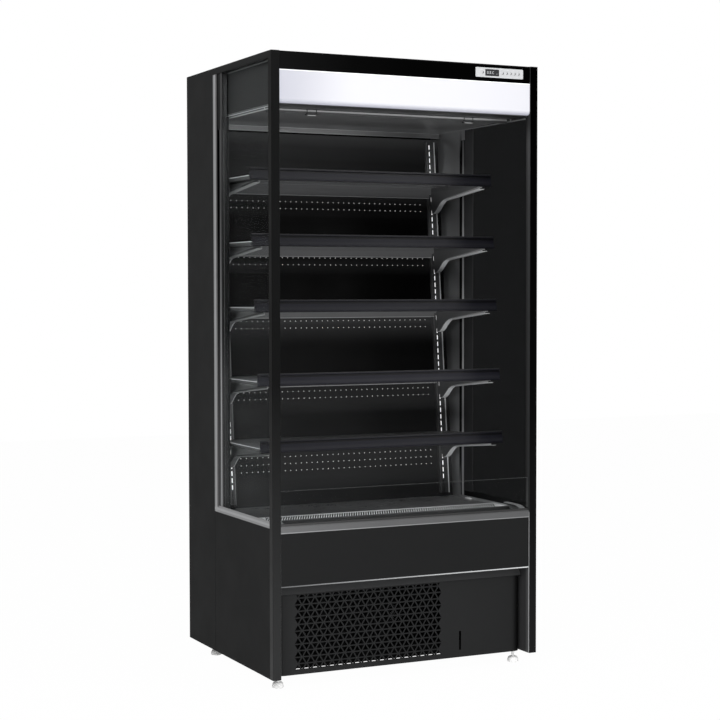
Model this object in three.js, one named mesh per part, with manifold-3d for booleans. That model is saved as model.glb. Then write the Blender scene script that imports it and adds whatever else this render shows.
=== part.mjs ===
// Open multideck display fridge: an upright refrigerated cabinet with five hooked shelves.
// Millimetres, +Z up. X runs along the width and the open front faces -Y. The origin is on
// the floor, below the centre of the cabinet. Sizes inside the cabinet are given as
// x from the middle, y back from the front face and z up from the underside of the end walls.
import * as THREE from 'three';
import * as BufferGeometryUtils from 'three/addons/utils/BufferGeometryUtils.js';
import Module from 'manifold-3d';

const wasm = await Module();
wasm.setup();

// ---------- driving dimensions ----------
const WIDTH = 980;
const DEPTH = 770;
const BODY_HEIGHT = 2000;
const FOOT_HEIGHT = 40;
const GAP = 0.3; // clearance between pieces that touch
const SINK = 0.6; // how far joined shapes reach into each other
const PIERCE = 1; // how far a cutting shape runs past a face
const SHEET = 1.5; // folded sheet metal
const RUNNING_GAP = 0.4; // around a pin, stem or key

// end walls
const WALL = 29;
const POST_DEPTH = 26;
const POST_RADIUS = 3;
const WINDOW_SILL = 495;
const WINDOW_HEAD_DROP = 22; // from the top of the wall to the top of the window
const WINDOW_TO_BACK = 290;
const TRIM_THICKNESS = 2.7;
const TRIM_REACH = 32; // how far the upright trim goes behind the window
const TRIM_DROP = 10; // how far the lower trim goes below the sill
const TRIM_LAP = 13; // how far the lower trim covers the glass
const TRIM_EDGE = 3; // how far the upright trim covers the gasket
const GASKET_WIDTH = 28;
const GASKET_HEAD_DROP = 211; // from the top of the wall to the top of the gasket
const CHANNEL_WIDTH = 15;
const CHANNEL_WALL = 1.5;
const PANE = 4;
const SPACER = 8;
const SEAM_WIDTH = 2;
const SEAM_DEPTH = 1;

// roof, back and tank
const ROOF_THICKNESS = 26;
const ROOF_DROP = 12; // the roof lies below the ends of the posts
const ROOF_FRONT = 48; // the fascia's top reaches back to the roof
const BACK_THICKNESS = 56;
const TANK_BOTTOM = 292;
const TANK_FLOOR = 33;
const TANK_FRONT_WALL = 30;
const DRAIN_RADIUS = 14;

// leaning rear panel and slotted uprights
const DECK_LEVEL = 486;
const REAR_PANEL_TO_BACK = 231; // from the foot of the panel to the back of the cabinet
const REAR_PANEL_LEAN = 5.33; // degrees
const REAR_PANEL_HEADROOM = 3.7; // below the ceiling's rear header
const REAR_PANEL_RETURN = 14;
const UPRIGHT_WIDTH = 35;
const UPRIGHT_DEPTH = 15;
const UPRIGHT_TO_WALL = 21;
const UPRIGHT_START = 12; // above the foot of the rear panel, and below its top
const SLOT_FROM_EDGE = 23; // from the outer edge of the upright to the line of slots
const SLOT_WIDTH = 4;
const SLOT_LENGTH = 19.6;
const SLOT_PITCH = 24.4;

// shelves
const SHELVES = 5;
const SHELF_FIRST_SLOT = 8; // slot of the lowest shelf's upper hook
const SHELF_HEADROOM = 190; // upright left free above the highest shelf's slot
const SHELF_OVER_HOOK = 22;
const SHELF_TO_UPRIGHT = 4;
const SHELF_SETBACK = 179; // front of the lowest shelf behind the cabinet's front, at deck level
const SHELF_TO_WALL = 4;
const SHELF_FRONT_FLANGE = 14;
const SHELF_REAR_FLANGE = 26;
const SHELF_SIDE_FLANGE = 13;
const SHELF_RIB_WIDTH = 22;
const SHELF_RIB_DEPTH = 4;
const SHELF_RIB_TO_SLOT = 22;
const SHELF_RIBS = 3;
const BRACKET_PLATE = 2.6;
const BRACKET_FLANGE = 22;
const BRACKET_REAR_DEPTH = 97;
const BRACKET_MID_DEPTH = 43;
const BRACKET_MID_REACH = 123;
const BRACKET_TIP_DEPTH = 18;
const BRACKET_TIP_TO_FRONT = 15;
const BRACKET_SWELL = 42; // how far the curve's handles lie in front of the upright
const HOOK_NECK = 9;
const HOOK_DROP = 7;
const HOOK_THICKNESS = 4;
const HOOK_LAP = 3; // how far a hook reaches into its bracket
const HOOK_SPACING = 2; // slots between the two hooks of a bracket
const STRIP_HEIGHT = 42;
const STRIP_BELOW = 16; // part of the price strip below the shelf's top
const STRIP_LEAN = 5;
const STRIP_WALL = 2;
const STRIP_RAIL = 4;
const STRIP_TO_WALL = 2;

// canopy, with its heights down from the top of the end walls
const FACE_SETBACK = 4; // faces of fascia and front panel behind the posts
const FASCIA_TOP_DROP = 5;
const FASCIA_HEIGHT = 53;
const FASCIA_LIP = 12;
const LIGHT_HEIGHT = 106;
const LIGHT_WALL = 3;
const LIGHT_BEND = 14;
const LIGHT_LIP = 30; // rear edge of the lower lip
const LIGHT_BACK = 44; // front of the plate that carries the lamp
const CEILING_FRONT = 160;
const CEILING_TO_BACK = 130;
const CEILING_RISE = 4; // above the lower edge of the lit panel
const CEILING_EDGE = 18;
const CEILING_FALL = 6;
const CEILING_HEADER = 18;
const POCKET_FRONT = 124;
const COVER_DROP = 12; // lower edge of the end covers below the lit panel
const COVER_THICKNESS = 2.7;
const OUTLET_SLOTS = 12;
const OUTLET_START = 172;
const OUTLET_LENGTH = 48;
const OUTLET_WIDTH = 56;
const OUTLET_END = 33; // from the last slot to the end wall
const LAMP_HEIGHT = 20;
const LAMP_DEPTH = 7;
const LAMP_TO_WALL = 31;
const LAMP_RISE = 54; // above the lower edge of the lit panel

// night blind
const BLIND_Y = 140;
const BLIND_ROLLER_RADIUS = 24.5;
const BLIND_ROLLER_TO_WALL = 21;
const BLIND_PIN_RADIUS = 5;
const BLIND_CLOTH = 1;
const BLIND_CLOTH_TO_WALL = 31;
const BLIND_BAR_RISE = 10; // top of the bar above the lower edge of the lit panel
const BLIND_BAR_HEIGHT = 26;
const BLIND_BAR_DEPTH = 24;
const BLIND_BAR_TO_WALL = 16;
const BLIND_BAR_NECK = 5;
const BLIND_HANDLE_TO_WALL = 168;
const BLIND_HANDLE_WIDTH = 36;
const BLIND_HANDLE_DROP = 4;
const BLIND_HANDLE_WALL = 2.5;

// controller, with its places from its own middle
const CONTROLLER_TO_SIDE = 149.5; // from the middle to the outer face of the end wall
const CONTROLLER_DROP = 29;
const CONTROLLER_WIDTH = 183;
const CONTROLLER_HEIGHT = 32;
const CONTROLLER_RADIUS = 3;
const CONTROLLER_FRONT = 1;
const CONTROLLER_BODY_DEPTH = 36;
const CONTROLLER_BODY_INSET = 4;
const DISPLAY_OFFSET = -28.7;
const DISPLAY_WIDTH = 53.5;
const DISPLAY_HEIGHT = 22.5;
const DISPLAY_RECESS = 0.2;
const DISPLAY_THICKNESS = 0.9;
const KEY_RADIUS = 5;
const KEY_THICKNESS = 1.7;
const KEY_PROUD = 0.5;
const KEY_TRAVEL = 0.8;
const KEY_SIDES = 12;
const KEYS = 5;
const POWER_KEY_OFFSET = -65.9;
const FIRST_KEY_OFFSET = 11.5;
const KEY_PITCH = 15.4;

// lower front
const FRONT_PANEL_BOTTOM = 295;
const FRONT_PANEL_TOP = 468;
const LEDGE_TOP = 492.5;
const LEDGE_FRONT = 3;
const LEDGE_WIDTH = 26;
const LEDGE_SLOPE = 5;
const TROUGH_REAR = 138;
const TROUGH_LEVEL = 478;
const TROUGH_FALL = 3;
const TROUGH_RISE = 20; // run of the slope up to the air grille
const GRILLE_SEAT = 14;
const RISER_THICKNESS = 5;
const RISER_TOP = 604;
const RISER_Y = 12;
const RISER_GROOVE = 6;
const RISER_HOLDER = 2;
const RISER_FLOOR = 0.5;
const GRILLE_REAR = 248;
const GRILLE_LEVEL = 490.5;
const GRILLE_SLOTS = 24;
const GRILLE_SLOT_WIDTH = 14;
const GRILLE_SLOT_LENGTH = 74;
const GRILLE_SLOT_SLANT = 10;
const GRILLE_TO_WALL = 21;
const DECK_FRONT_FLANGE = 20;
const DECK_TO_PANEL = 1;
const DECK_TO_UPRIGHT = 2;

// kick panel with triangular holes
const KICK_FACE_Y = 46;
const KICK_BOTTOM = 1;
const KICK_TOP = 262;
const KICK_FLAT_TO_WALL = 31;
const KICK_BEND = 25;
const KICK_RETURN = 11; // straight part of the return behind the bend
const KICK_FLANGE_RISE = 21;
const KICK_FLANGE_BACK = 12;
const KICK_FLANGE_LIP = 14;
const HOLE_PITCH_X = 15.2;
const HOLE_PITCH_Z = 21.35;
const HOLE_SIDE = 16;
const HOLE_HEIGHT = 14;
const HOLE_COLUMNS = 35;
const HOLE_ROWS = 12;
const HOLE_TO_WALL = 77; // from the left end wall to the middle of the first column
const HOLE_LOWEST = 25.7; // middle of the lowest row
const HOLE_TO_FOLD = 2;
const LATCH_SLOT_REACH = 600; // from the first column to the upright slot
const LATCH_SLOT_Z = 58;
const LATCH_SLOT_WIDTH = 6;
const LATCH_SLOT_HEIGHT = 64;

// base and feet
const BASE_LEVEL = 20;
const RAIL_TO_WALL = 36; // from the end wall to the inner edge of each base rail
const RAIL_NOSE_TO_WALL = 12; // the same to its outer edge, inside the kick panel
const RAIL_SHOULDER = 62;
const RAIL_HEIGHT = 30;
const BASE_LIP = 38;
const BASE_TO_BACK = 6;
const LOUVRES = 9;
const LOUVRE_PITCH = 20;
const LOUVRE_HEIGHT = 8;
const LOUVRE_TO_WALL = 131;
const LOUVRE_LOWEST = 85;
const FOOT_TO_WALL = 19;
const FOOT_FRONT_Y = 76;
const FOOT_TO_BACK = 140;
const FOOT_DISC_RADIUS = 19;
const FOOT_DISC_EDGE = 7;
const FOOT_DISC_HEIGHT = 19;
const FOOT_DISC_CHAMFER = 1.5;
const FOOT_COLLAR_RADIUS = 8;
const FOOT_STEM_RADIUS = 5;
const FOOT_STEM_TOP = 42;
const FOOT_SIDES = 12;

// refrigeration
const COMPRESSOR_TO_WALL = 231;
const COMPRESSOR_TO_BACK = 440;
const COMPRESSOR_RADIUS = 82;
const COMPRESSOR_HEIGHT = 190;
const COMPRESSOR_LIFT = 8; // rubber mounts under the compressor's plate
const COIL_TO_WALL = 276; // from the left end wall to the middle of the condenser
const COIL_WIDTH = 360;
const COIL_HEIGHT = 205;
const COIL_FRONT = 110;
const COIL_DEPTH = 50;
const COIL_FINS = 15;
const FAN_RADIUS = 82;
const FAN_RING_CLEARANCE = 6;
const FAN_HUB_RADIUS = 22;
const FAN_HUB_DEPTH = 16;
const FAN_BLADES = 5;
const FAN_BLADE_WALL = 2.4;
const FAN_BLADE_LAP = 4; // how far a blade reaches into the hub
const FAN_SHAFT_RADIUS = 4;
const FAN_MOTOR_DEPTH = 28;
const FAN_ARM = 4;
const FAN_ARM_WIDTH = 12;
const FAN_TO_MOTOR = 2;
const SHROUD_DEPTH = 34;
const SHROUD_WALL = 3;
const EVAP_TO_WALL = 61;
const EVAP_TO_PANEL = 137; // front of the evaporator before the foot of the rear panel
const EVAP_DEPTH = 120;
const EVAP_HEIGHT = 118;
const EVAP_FINS = 16;
const EVAP_WALL = 2;
const EVAP_FAN_RADIUS = 58;
const EVAP_FAN_REACH = 14;
const EVAP_PLENUM = 90; // from the fan plate to the evaporator
const TRAY_WIDTH = 300;
const TRAY_DEPTH = 190;
const TRAY_HEIGHT = 36;
const TRAY_WALL = 2;
const TRAY_TO_WALL = 341; // from the right end wall to the middle of the tray
const TRAY_TO_BACK = 200;

// ---------- derived places ----------
const INNER = WIDTH / 2 - WALL;
const SPAN = INNER - GAP;
const WINDOW_HEAD = BODY_HEIGHT - WINDOW_HEAD_DROP;
const WINDOW_REAR = DEPTH - WINDOW_TO_BACK;
const GASKET_HEAD = BODY_HEIGHT - GASKET_HEAD_DROP;
const ROOF_TOP = BODY_HEIGHT - ROOF_DROP;
const ROOF_BOTTOM = ROOF_TOP - ROOF_THICKNESS;
const BACK_FRONT = DEPTH - BACK_THICKNESS;
const TANK_FRONT = FACE_SETBACK + POST_DEPTH;
const TANK_TOP = TROUGH_LEVEL - SHEET - GAP;
const FASCIA_TOP = BODY_HEIGHT - FASCIA_TOP_DROP;
const FASCIA_BOTTOM = FASCIA_TOP - FASCIA_HEIGHT;
const LIGHT_BOTTOM = FASCIA_BOTTOM - LIGHT_HEIGHT;
const CEILING_REAR = DEPTH - CEILING_TO_BACK;
const CEILING_LEVEL = LIGHT_BOTTOM - CEILING_RISE;
const HEADER_LEVEL = CEILING_LEVEL - CEILING_FALL - CEILING_HEADER;
const LAMP_LEVEL = LIGHT_BOTTOM + LAMP_RISE;
const LAMP_PLATE_TOP = FASCIA_BOTTOM - 2;
const LEAN = THREE.MathUtils.degToRad(REAR_PANEL_LEAN);
const REAR_PANEL_FOOT = DEPTH - REAR_PANEL_TO_BACK;
const REAR_PANEL_LENGTH = (HEADER_LEVEL - REAR_PANEL_HEADROOM - DECK_LEVEL) / Math.cos(LEAN);
const UPRIGHT_LENGTH = REAR_PANEL_LENGTH - 2 * UPRIGHT_START;
const UPRIGHT_OUTER = INNER - UPRIGHT_TO_WALL;
const SLOT_X = UPRIGHT_OUTER - SLOT_FROM_EDGE;
const SHELF_LAST_SLOT = Math.floor((UPRIGHT_LENGTH - SHELF_HEADROOM) / SLOT_PITCH);
const SHELF_DEPTH = REAR_PANEL_FOOT - SHELF_SETBACK;
const BLIND_HALF = INNER - BLIND_ROLLER_TO_WALL;
const BLIND_BAR_TOP = LIGHT_BOTTOM + BLIND_BAR_RISE;
const BLIND_ROLLER_LEVEL = LAMP_LEVEL;
const CONTROLLER_X = WIDTH / 2 - CONTROLLER_TO_SIDE;
const CONTROLLER_Z = BODY_HEIGHT - CONTROLLER_DROP;
const DISPLAY_X = CONTROLLER_X + DISPLAY_OFFSET;
const KEY_POCKET_FLOOR = CONTROLLER_FRONT - KEY_PROUD + KEY_THICKNESS + KEY_TRAVEL + GAP;
const KICK_HALF_FLAT = INNER - KICK_FLAT_TO_WALL;
const KICK_RETURN_END = KICK_FACE_Y + KICK_BEND + KICK_RETURN;
const HOLE_LEFT = HOLE_TO_WALL - INNER;
const LATCH_SLOT_X = HOLE_LEFT + LATCH_SLOT_REACH;
const BASE_REAR = DEPTH - BASE_TO_BACK;
const RAIL_TOP = BASE_LEVEL + RAIL_HEIGHT;
const FOOT_X = INNER - FOOT_TO_WALL;
const TRAY_X = INNER - TRAY_TO_WALL;
const TRAY_Y = DEPTH - TRAY_TO_BACK;
const COMPRESSOR_Y = DEPTH - COMPRESSOR_TO_BACK;

// ---------- materials ----------
function finish(color, roughness, metalness) {
  return new THREE.MeshStandardMaterial({ color, roughness, metalness });
}
const blackPaint = () => finish(0x1b1c1e, 0.45, 0.2);
const interiorPaint = () => finish(0x35383b, 0.5, 0.3);
const lightSteel = () => finish(0xa9abad, 0.35, 0.8);
const shelfSteel = () => finish(0x6c6f72, 0.4, 0.7);
const whitePlastic = () => finish(0xe8e9ee, 0.4, 0);
const stripPlastic = () => finish(0x26283a, 0.4, 0);
const blackRubber = () => finish(0x08080a, 0.8, 0);
const whiteFoot = () => finish(0xdcdddc, 0.5, 0);
const clothWeave = () => finish(0x9a9da0, 0.9, 0);
const copper = () => finish(0x9b6a4c, 0.4, 0.8);
function clearGlass(color, opacity) {
  const glass = finish(color, 0.05, 0);
  glass.transparent = true;
  glass.opacity = opacity;
  return glass;
}

// ---------- shape helpers ----------
function outline(points) {
  return new THREE.Shape(points.map(([u, v]) => new THREE.Vector2(u, v)));
}

function extrude(shape, length, curveSegments = 6) {
  return new THREE.ExtrudeGeometry(shape, { depth: length, bevelEnabled: false, curveSegments });
}

// an outline in (y, z) drawn along X
function alongX(shape, x0, x1, curveSegments) {
  const geometry = extrude(shape, x1 - x0, curveSegments);
  const axes = new THREE.Matrix4().makeBasis(
    new THREE.Vector3(0, 1, 0),
    new THREE.Vector3(0, 0, 1),
    new THREE.Vector3(1, 0, 0),
  );
  return geometry.applyMatrix4(axes).translate(x0, 0, 0);
}

// an outline in (x, z) drawn along Y
function alongY(shape, y0, y1, curveSegments) {
  const geometry = extrude(shape, y1 - y0, curveSegments);
  return geometry.rotateX(Math.PI / 2).translate(0, y1, 0);
}

// an outline in (x, y) drawn along Z
function alongZ(shape, z0, z1, curveSegments) {
  return extrude(shape, z1 - z0, curveSegments).translate(0, 0, z0);
}

function box(x0, x1, y0, y1, z0, z1) {
  const geometry = new THREE.BoxGeometry(x1 - x0, y1 - y0, z1 - z0);
  return geometry.translate((x0 + x1) / 2, (y0 + y1) / 2, (z0 + z1) / 2);
}

function cylinderZ(radius, z0, z1, x, y, sides = 12) {
  const geometry = new THREE.CylinderGeometry(radius, radius, z1 - z0, sides);
  return geometry.rotateX(Math.PI / 2).translate(x, y, (z0 + z1) / 2);
}

function cylinderY(radius, y0, y1, x, z, sides = 12) {
  const geometry = new THREE.CylinderGeometry(radius, radius, y1 - y0, sides);
  return geometry.translate(x, (y0 + y1) / 2, z);
}

function turnedZ(profile, sides) {
  const points = profile.map(([r, z]) => new THREE.Vector2(r, z));
  return new THREE.LatheGeometry(points, sides).rotateX(Math.PI / 2);
}

// closed outline of a folded sheet whose one side follows the given points
function folded(points, thickness) {
  const other = points.map((point, i) => {
    const before = points[Math.max(i - 1, 0)];
    const after = points[Math.min(i + 1, points.length - 1)];
    const normals = [];
    if (i > 0) normals.push(leftNormal(before, point));
    if (i < points.length - 1) normals.push(leftNormal(point, after));
    const sum = normals.reduce((a, n) => [a[0] + n[0], a[1] + n[1]], [0, 0]);
    const size = Math.hypot(sum[0], sum[1]);
    const reach = thickness / (size / normals.length);
    return [point[0] + (sum[0] / size) * reach, point[1] + (sum[1] / size) * reach];
  });
  return outline([...points, ...other.reverse()]);
}

function leftNormal(a, b) {
  const length = Math.hypot(b[0] - a[0], b[1] - a[1]);
  return [-(b[1] - a[1]) / length, (b[0] - a[0]) / length];
}

function arcPoints(cx, cy, radius, from, to, steps) {
  return Array.from({ length: steps + 1 }, (_, i) => {
    const angle = from + ((to - from) * i) / steps;
    return [cx + radius * Math.cos(angle), cy + radius * Math.sin(angle)];
  });
}

function roundedBox(width, height, radius) {
  const shape = new THREE.Shape();
  const [w, h] = [width / 2, height / 2];
  shape.moveTo(-w + radius, -h);
  shape.lineTo(w - radius, -h);
  shape.absarc(w - radius, -h + radius, radius, -Math.PI / 2, 0);
  shape.lineTo(w, h - radius);
  shape.absarc(w - radius, h - radius, radius, 0, Math.PI / 2);
  shape.lineTo(-w + radius, h);
  shape.absarc(-w + radius, h - radius, radius, Math.PI / 2, Math.PI);
  shape.lineTo(-w, -h + radius);
  shape.absarc(-w + radius, -h + radius, radius, Math.PI, 1.5 * Math.PI);
  return shape;
}

// ---------- joining and cutting ----------
function toSolid(geometry) {
  const bare = geometry.clone();
  bare.deleteAttribute('normal');
  bare.deleteAttribute('uv');
  const merged = BufferGeometryUtils.mergeVertices(bare, 1e-4);
  return new wasm.Manifold(new wasm.Mesh({
    numProp: 3,
    vertProperties: merged.attributes.position.array,
    triVerts: merged.index.array,
  }));
}

function toGeometry(solid) {
  const mesh = solid.getMesh();
  const geometry = new THREE.BufferGeometry();
  geometry.setAttribute('position', new THREE.BufferAttribute(mesh.vertProperties, 3));
  geometry.setIndex(new THREE.BufferAttribute(mesh.triVerts, 1));
  return geometry;
}

function join(geometries) {
  return toGeometry(geometries.map(toSolid).reduce((a, b) => a.add(b)));
}

function cut(geometry, tools) {
  return toGeometry(tools.map(toSolid).reduce((a, b) => a.subtract(b), toSolid(geometry)));
}

// the same shape on the other side, with each triangle turned round to face out again
function mirrored(geometry) {
  const copy = BufferGeometryUtils.mergeVertices(geometry.clone().scale(-1, 1, 1));
  for (let i = 0; i < copy.index.count; i += 3) {
    const second = copy.index.getX(i + 1);
    copy.index.setX(i + 1, copy.index.getX(i + 2));
    copy.index.setX(i + 2, second);
  }
  return copy;
}

// ---------- scene graph ----------
const fridge = new THREE.Group();
const cabinet = new THREE.Group();
cabinet.position.set(0, -DEPTH / 2, FOOT_HEIGHT);
fridge.add(cabinet);

function add(name, geometry, material, parent = cabinet) {
  const mesh = new THREE.Mesh(geometry, material);
  mesh.name = name;
  parent.add(mesh);
  return mesh;
}

function addPair(name, geometry, makeMaterial) {
  add(`${name}_right`, geometry, makeMaterial());
  add(`${name}_left`, mirrored(geometry), makeMaterial());
}

// ---------- end walls ----------
function postGeometry() {
  const [x0, x1] = [INNER, WIDTH / 2];
  const section = outline([
    [x0, POST_DEPTH],
    ...arcPoints(x0 + POST_RADIUS, POST_RADIUS, POST_RADIUS, Math.PI, 1.5 * Math.PI, 4),
    ...arcPoints(x1 - POST_RADIUS, POST_RADIUS, POST_RADIUS, 1.5 * Math.PI, 2 * Math.PI, 4),
    [x1, POST_DEPTH],
  ]);
  return alongZ(section, 0, BODY_HEIGHT);
}

function endPanelGeometry() {
  const front = POST_DEPTH + GAP;
  const shoulder = WINDOW_REAR - GASKET_WIDTH;
  const plate = alongX(outline([
    [front, 0], [DEPTH, 0], [DEPTH, BODY_HEIGHT], [front, BODY_HEIGHT],
    [front, WINDOW_HEAD], [shoulder, WINDOW_HEAD], [shoulder, GASKET_HEAD + GAP],
    [WINDOW_REAR, GASKET_HEAD + GAP], [WINDOW_REAR, WINDOW_SILL], [front, WINDOW_SILL],
  ]), INNER, WIDTH / 2);
  const depth = TRIM_THICKNESS + GAP;
  const face = WIDTH / 2;
  const trimRear = WINDOW_REAR + TRIM_REACH;
  const sill = WINDOW_SILL - TRIM_DROP;
  const out = face + PIERCE;
  const uprightRebate = box(face - depth, out, shoulder, trimRear, sill, WINDOW_HEAD);
  const lowerRebate = box(
    face - depth, out, front - PIERCE, trimRear, sill, WINDOW_SILL + PIERCE,
  );
  const seam = box(
    face - SEAM_DEPTH, out, trimRear - SEAM_WIDTH, trimRear, -PIERCE, sill + PIERCE,
  );
  return cut(plate, [uprightRebate, lowerRebate, seam]);
}

function trimGeometry() {
  const front = POST_DEPTH + 2 * GAP;
  const rear = WINDOW_REAR + TRIM_REACH - GAP;
  const bottom = WINDOW_SILL - TRIM_DROP + GAP;
  const top = WINDOW_HEAD - GAP;
  const lap = WINDOW_SILL + TRIM_LAP;
  const inner = WINDOW_REAR - TRIM_EDGE;
  return alongX(outline([
    [front, bottom], [rear, bottom], [rear, top], [inner, top], [inner, lap], [front, lap],
  ]), WIDTH / 2 - TRIM_THICKNESS, WIDTH / 2);
}

function gasketGeometry() {
  const y0 = WINDOW_REAR - GASKET_WIDTH + GAP;
  return box(INNER + GAP, trimBack(), y0, WINDOW_REAR - GAP, WINDOW_SILL + GAP, GASKET_HEAD);
}

function trimBack() {
  return WIDTH / 2 - TRIM_THICKNESS - GAP;
}

function channelGeometry() {
  const rear = WINDOW_REAR - GASKET_WIDTH;
  const front = rear - CHANNEL_WIDTH;
  const [x0, x1] = [INNER + GAP, trimBack()];
  const web = rear - CHANNEL_WALL;
  return alongZ(outline([
    [x0, front], [x0 + CHANNEL_WALL, front], [x0 + CHANNEL_WALL, web],
    [x1 - CHANNEL_WALL, web], [x1 - CHANNEL_WALL, front], [x1, front], [x1, rear], [x0, rear],
  ]), WINDOW_SILL + GAP, WINDOW_HEAD - GAP);
}

// two panes held apart by the spacer along their front edge
function glazingGeometry() {
  const front = POST_DEPTH + 2 * GAP;
  const rear = WINDOW_REAR - GASKET_WIDTH - CHANNEL_WALL - GAP;
  const x0 = INNER + CHANNEL_WALL + 2 * GAP;
  const x1 = trimBack() - CHANNEL_WALL - GAP;
  const web = front + SPACER;
  return alongZ(outline([
    [x0, front], [x1, front], [x1, rear], [x1 - PANE, rear], [x1 - PANE, web],
    [x0 + PANE, web], [x0 + PANE, rear], [x0, rear],
  ]), WINDOW_SILL + GAP, WINDOW_HEAD - GAP);
}

function addEndWalls() {
  addPair('front_post', postGeometry(), blackPaint);
  addPair('side_panel', endPanelGeometry(), blackPaint);
  addPair('window_trim', trimGeometry(), lightSteel);
  addPair('window_gasket', gasketGeometry(), blackRubber);
  addPair('glazing_channel', channelGeometry(), lightSteel);
  const glazing = glazingGeometry();
  add('side_glass_right', glazing, clearGlass(0x15171a, 0.85));
  add('side_glass_left', mirrored(glazing), clearGlass(0xc8d0d2, 0.25));
}

// ---------- roof, back and tank ----------
function addShell() {
  const rear = DEPTH - GAP;
  add('roof_panel', box(-SPAN, SPAN, ROOF_FRONT, rear, ROOF_BOTTOM, ROOF_TOP), blackPaint());
  const backTop = ROOF_BOTTOM - GAP;
  add('back_wall', box(-SPAN, SPAN, BACK_FRONT, rear, TANK_BOTTOM, backTop), blackPaint());
  const tank = alongX(outline([
    [TANK_FRONT, TANK_BOTTOM], [BACK_FRONT - GAP, TANK_BOTTOM],
    [BACK_FRONT - GAP, TANK_BOTTOM + TANK_FLOOR],
    [TANK_FRONT + TANK_FRONT_WALL, TANK_BOTTOM + TANK_FLOOR],
    [TANK_FRONT + TANK_FRONT_WALL, TANK_TOP], [TANK_FRONT, TANK_TOP],
  ]), -SPAN, SPAN);
  const drain = cylinderZ(
    DRAIN_RADIUS, TANK_BOTTOM - PIERCE, TANK_BOTTOM + TANK_FLOOR + PIERCE, TRAY_X, TRAY_Y, 12,
  );
  add('base_tank', cut(tank, [drain]), interiorPaint());
}

// ---------- leaning rear panel with its uprights ----------
const leaning = new THREE.Group();
leaning.position.set(0, REAR_PANEL_FOOT, DECK_LEVEL + GAP);
leaning.rotation.x = -LEAN;
cabinet.add(leaning);

function slotBase(index) {
  return UPRIGHT_START + (SLOT_PITCH - SLOT_LENGTH) / 2 + index * SLOT_PITCH;
}

function uprightGeometry() {
  const [x0, x1] = [UPRIGHT_OUTER - UPRIGHT_WIDTH, UPRIGHT_OUTER];
  const top = UPRIGHT_START + UPRIGHT_LENGTH;
  const web = box(x0, x1, -UPRIGHT_DEPTH, -UPRIGHT_DEPTH + SHEET, UPRIGHT_START, top);
  const slots = Array.from({ length: Math.floor(UPRIGHT_LENGTH / SLOT_PITCH) }, (_, i) => box(
    SLOT_X - SLOT_WIDTH / 2, SLOT_X + SLOT_WIDTH / 2, -UPRIGHT_DEPTH - PIERCE,
    -UPRIGHT_DEPTH + SHEET + PIERCE, slotBase(i), slotBase(i) + SLOT_LENGTH,
  ));
  const flange = (x) => box(
    x, x + SHEET, -UPRIGHT_DEPTH + SHEET / 2, -GAP, UPRIGHT_START, top,
  );
  return join([cut(web, slots), flange(x0), flange(x1 - SHEET)]);
}

function addRearPanel() {
  const sheet = folded([
    [-SPAN, REAR_PANEL_RETURN], [-SPAN, 0], [SPAN, 0], [SPAN, REAR_PANEL_RETURN],
  ], SHEET);
  add('rear_duct_panel', alongZ(sheet, 0, REAR_PANEL_LENGTH), interiorPaint(), leaning);
  const upright = uprightGeometry();
  add('upright_right', upright, shelfSteel(), leaning);
  add('upright_left', mirrored(upright), shelfSteel(), leaning);
}

// ---------- shelves ----------
// a point on the leaning frame, s along it and t behind the rear panel's face
function leaningPoint(s, t) {
  return [
    REAR_PANEL_FOOT + s * Math.sin(LEAN) + t * Math.cos(LEAN),
    DECK_LEVEL + GAP + s * Math.cos(LEAN) - t * Math.sin(LEAN),
  ];
}

function hookOutline(slotIndex) {
  const low = slotBase(slotIndex) + GAP;
  const face = -UPRIGHT_DEPTH - GAP;
  const behind = -UPRIGHT_DEPTH + SHEET + GAP;
  return outline([
    [face - HOOK_LAP, low], [behind, low], [behind, low - HOOK_DROP],
    [behind + HOOK_THICKNESS, low - HOOK_DROP], [behind + HOOK_THICKNESS, low + HOOK_NECK - 2],
    [behind + HOOK_THICKNESS - 2, low + HOOK_NECK], [face - HOOK_LAP, low + HOOK_NECK],
  ].map(([t, s]) => leaningPoint(s, t)));
}

function bracketCurve(level) {
  const rear = leaningPoint(0, -UPRIGHT_DEPTH - GAP);
  const faceAt = (z) => rear[0] + (z - rear[1]) * Math.tan(LEAN);
  const low = level - BRACKET_REAR_DEPTH;
  const back = faceAt(level);
  const start = new THREE.Vector2(faceAt(low), low);
  const middle = new THREE.Vector2(back - BRACKET_MID_REACH, level - BRACKET_MID_DEPTH);
  const tipReach = SHELF_DEPTH - BRACKET_TIP_TO_FRONT;
  const bend = new THREE.CubicBezierCurve(
    start,
    new THREE.Vector2(start.x - BRACKET_SWELL, low + BRACKET_SWELL / 10),
    new THREE.Vector2(start.x - BRACKET_SWELL, middle.y - BRACKET_SWELL / 5),
    middle,
  );
  const tip = [back - tipReach, level - BRACKET_TIP_DEPTH];
  return { back, points: [...bend.getPoints(6).map((p) => [p.x, p.y]), tip] };
}

function bracketGeometry(level, upperSlot) {
  const { back, points } = bracketCurve(level);
  const tip = points[points.length - 1];
  const plate = outline([...points, [tip[0], level - SHEET / 2], [back, level - SHEET / 2]]);
  const [x0, x1] = [SLOT_X - BRACKET_PLATE / 2, SLOT_X + BRACKET_PLATE / 2];
  const flange = folded([...points].reverse(), SHEET);
  return join([
    alongX(plate, x0, x1),
    alongX(flange, x0 + BRACKET_PLATE / 2, x0 + BRACKET_FLANGE),
    alongX(hookOutline(upperSlot), x0, x1),
    alongX(hookOutline(upperSlot - HOOK_SPACING), x0, x1),
  ]);
}

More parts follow.
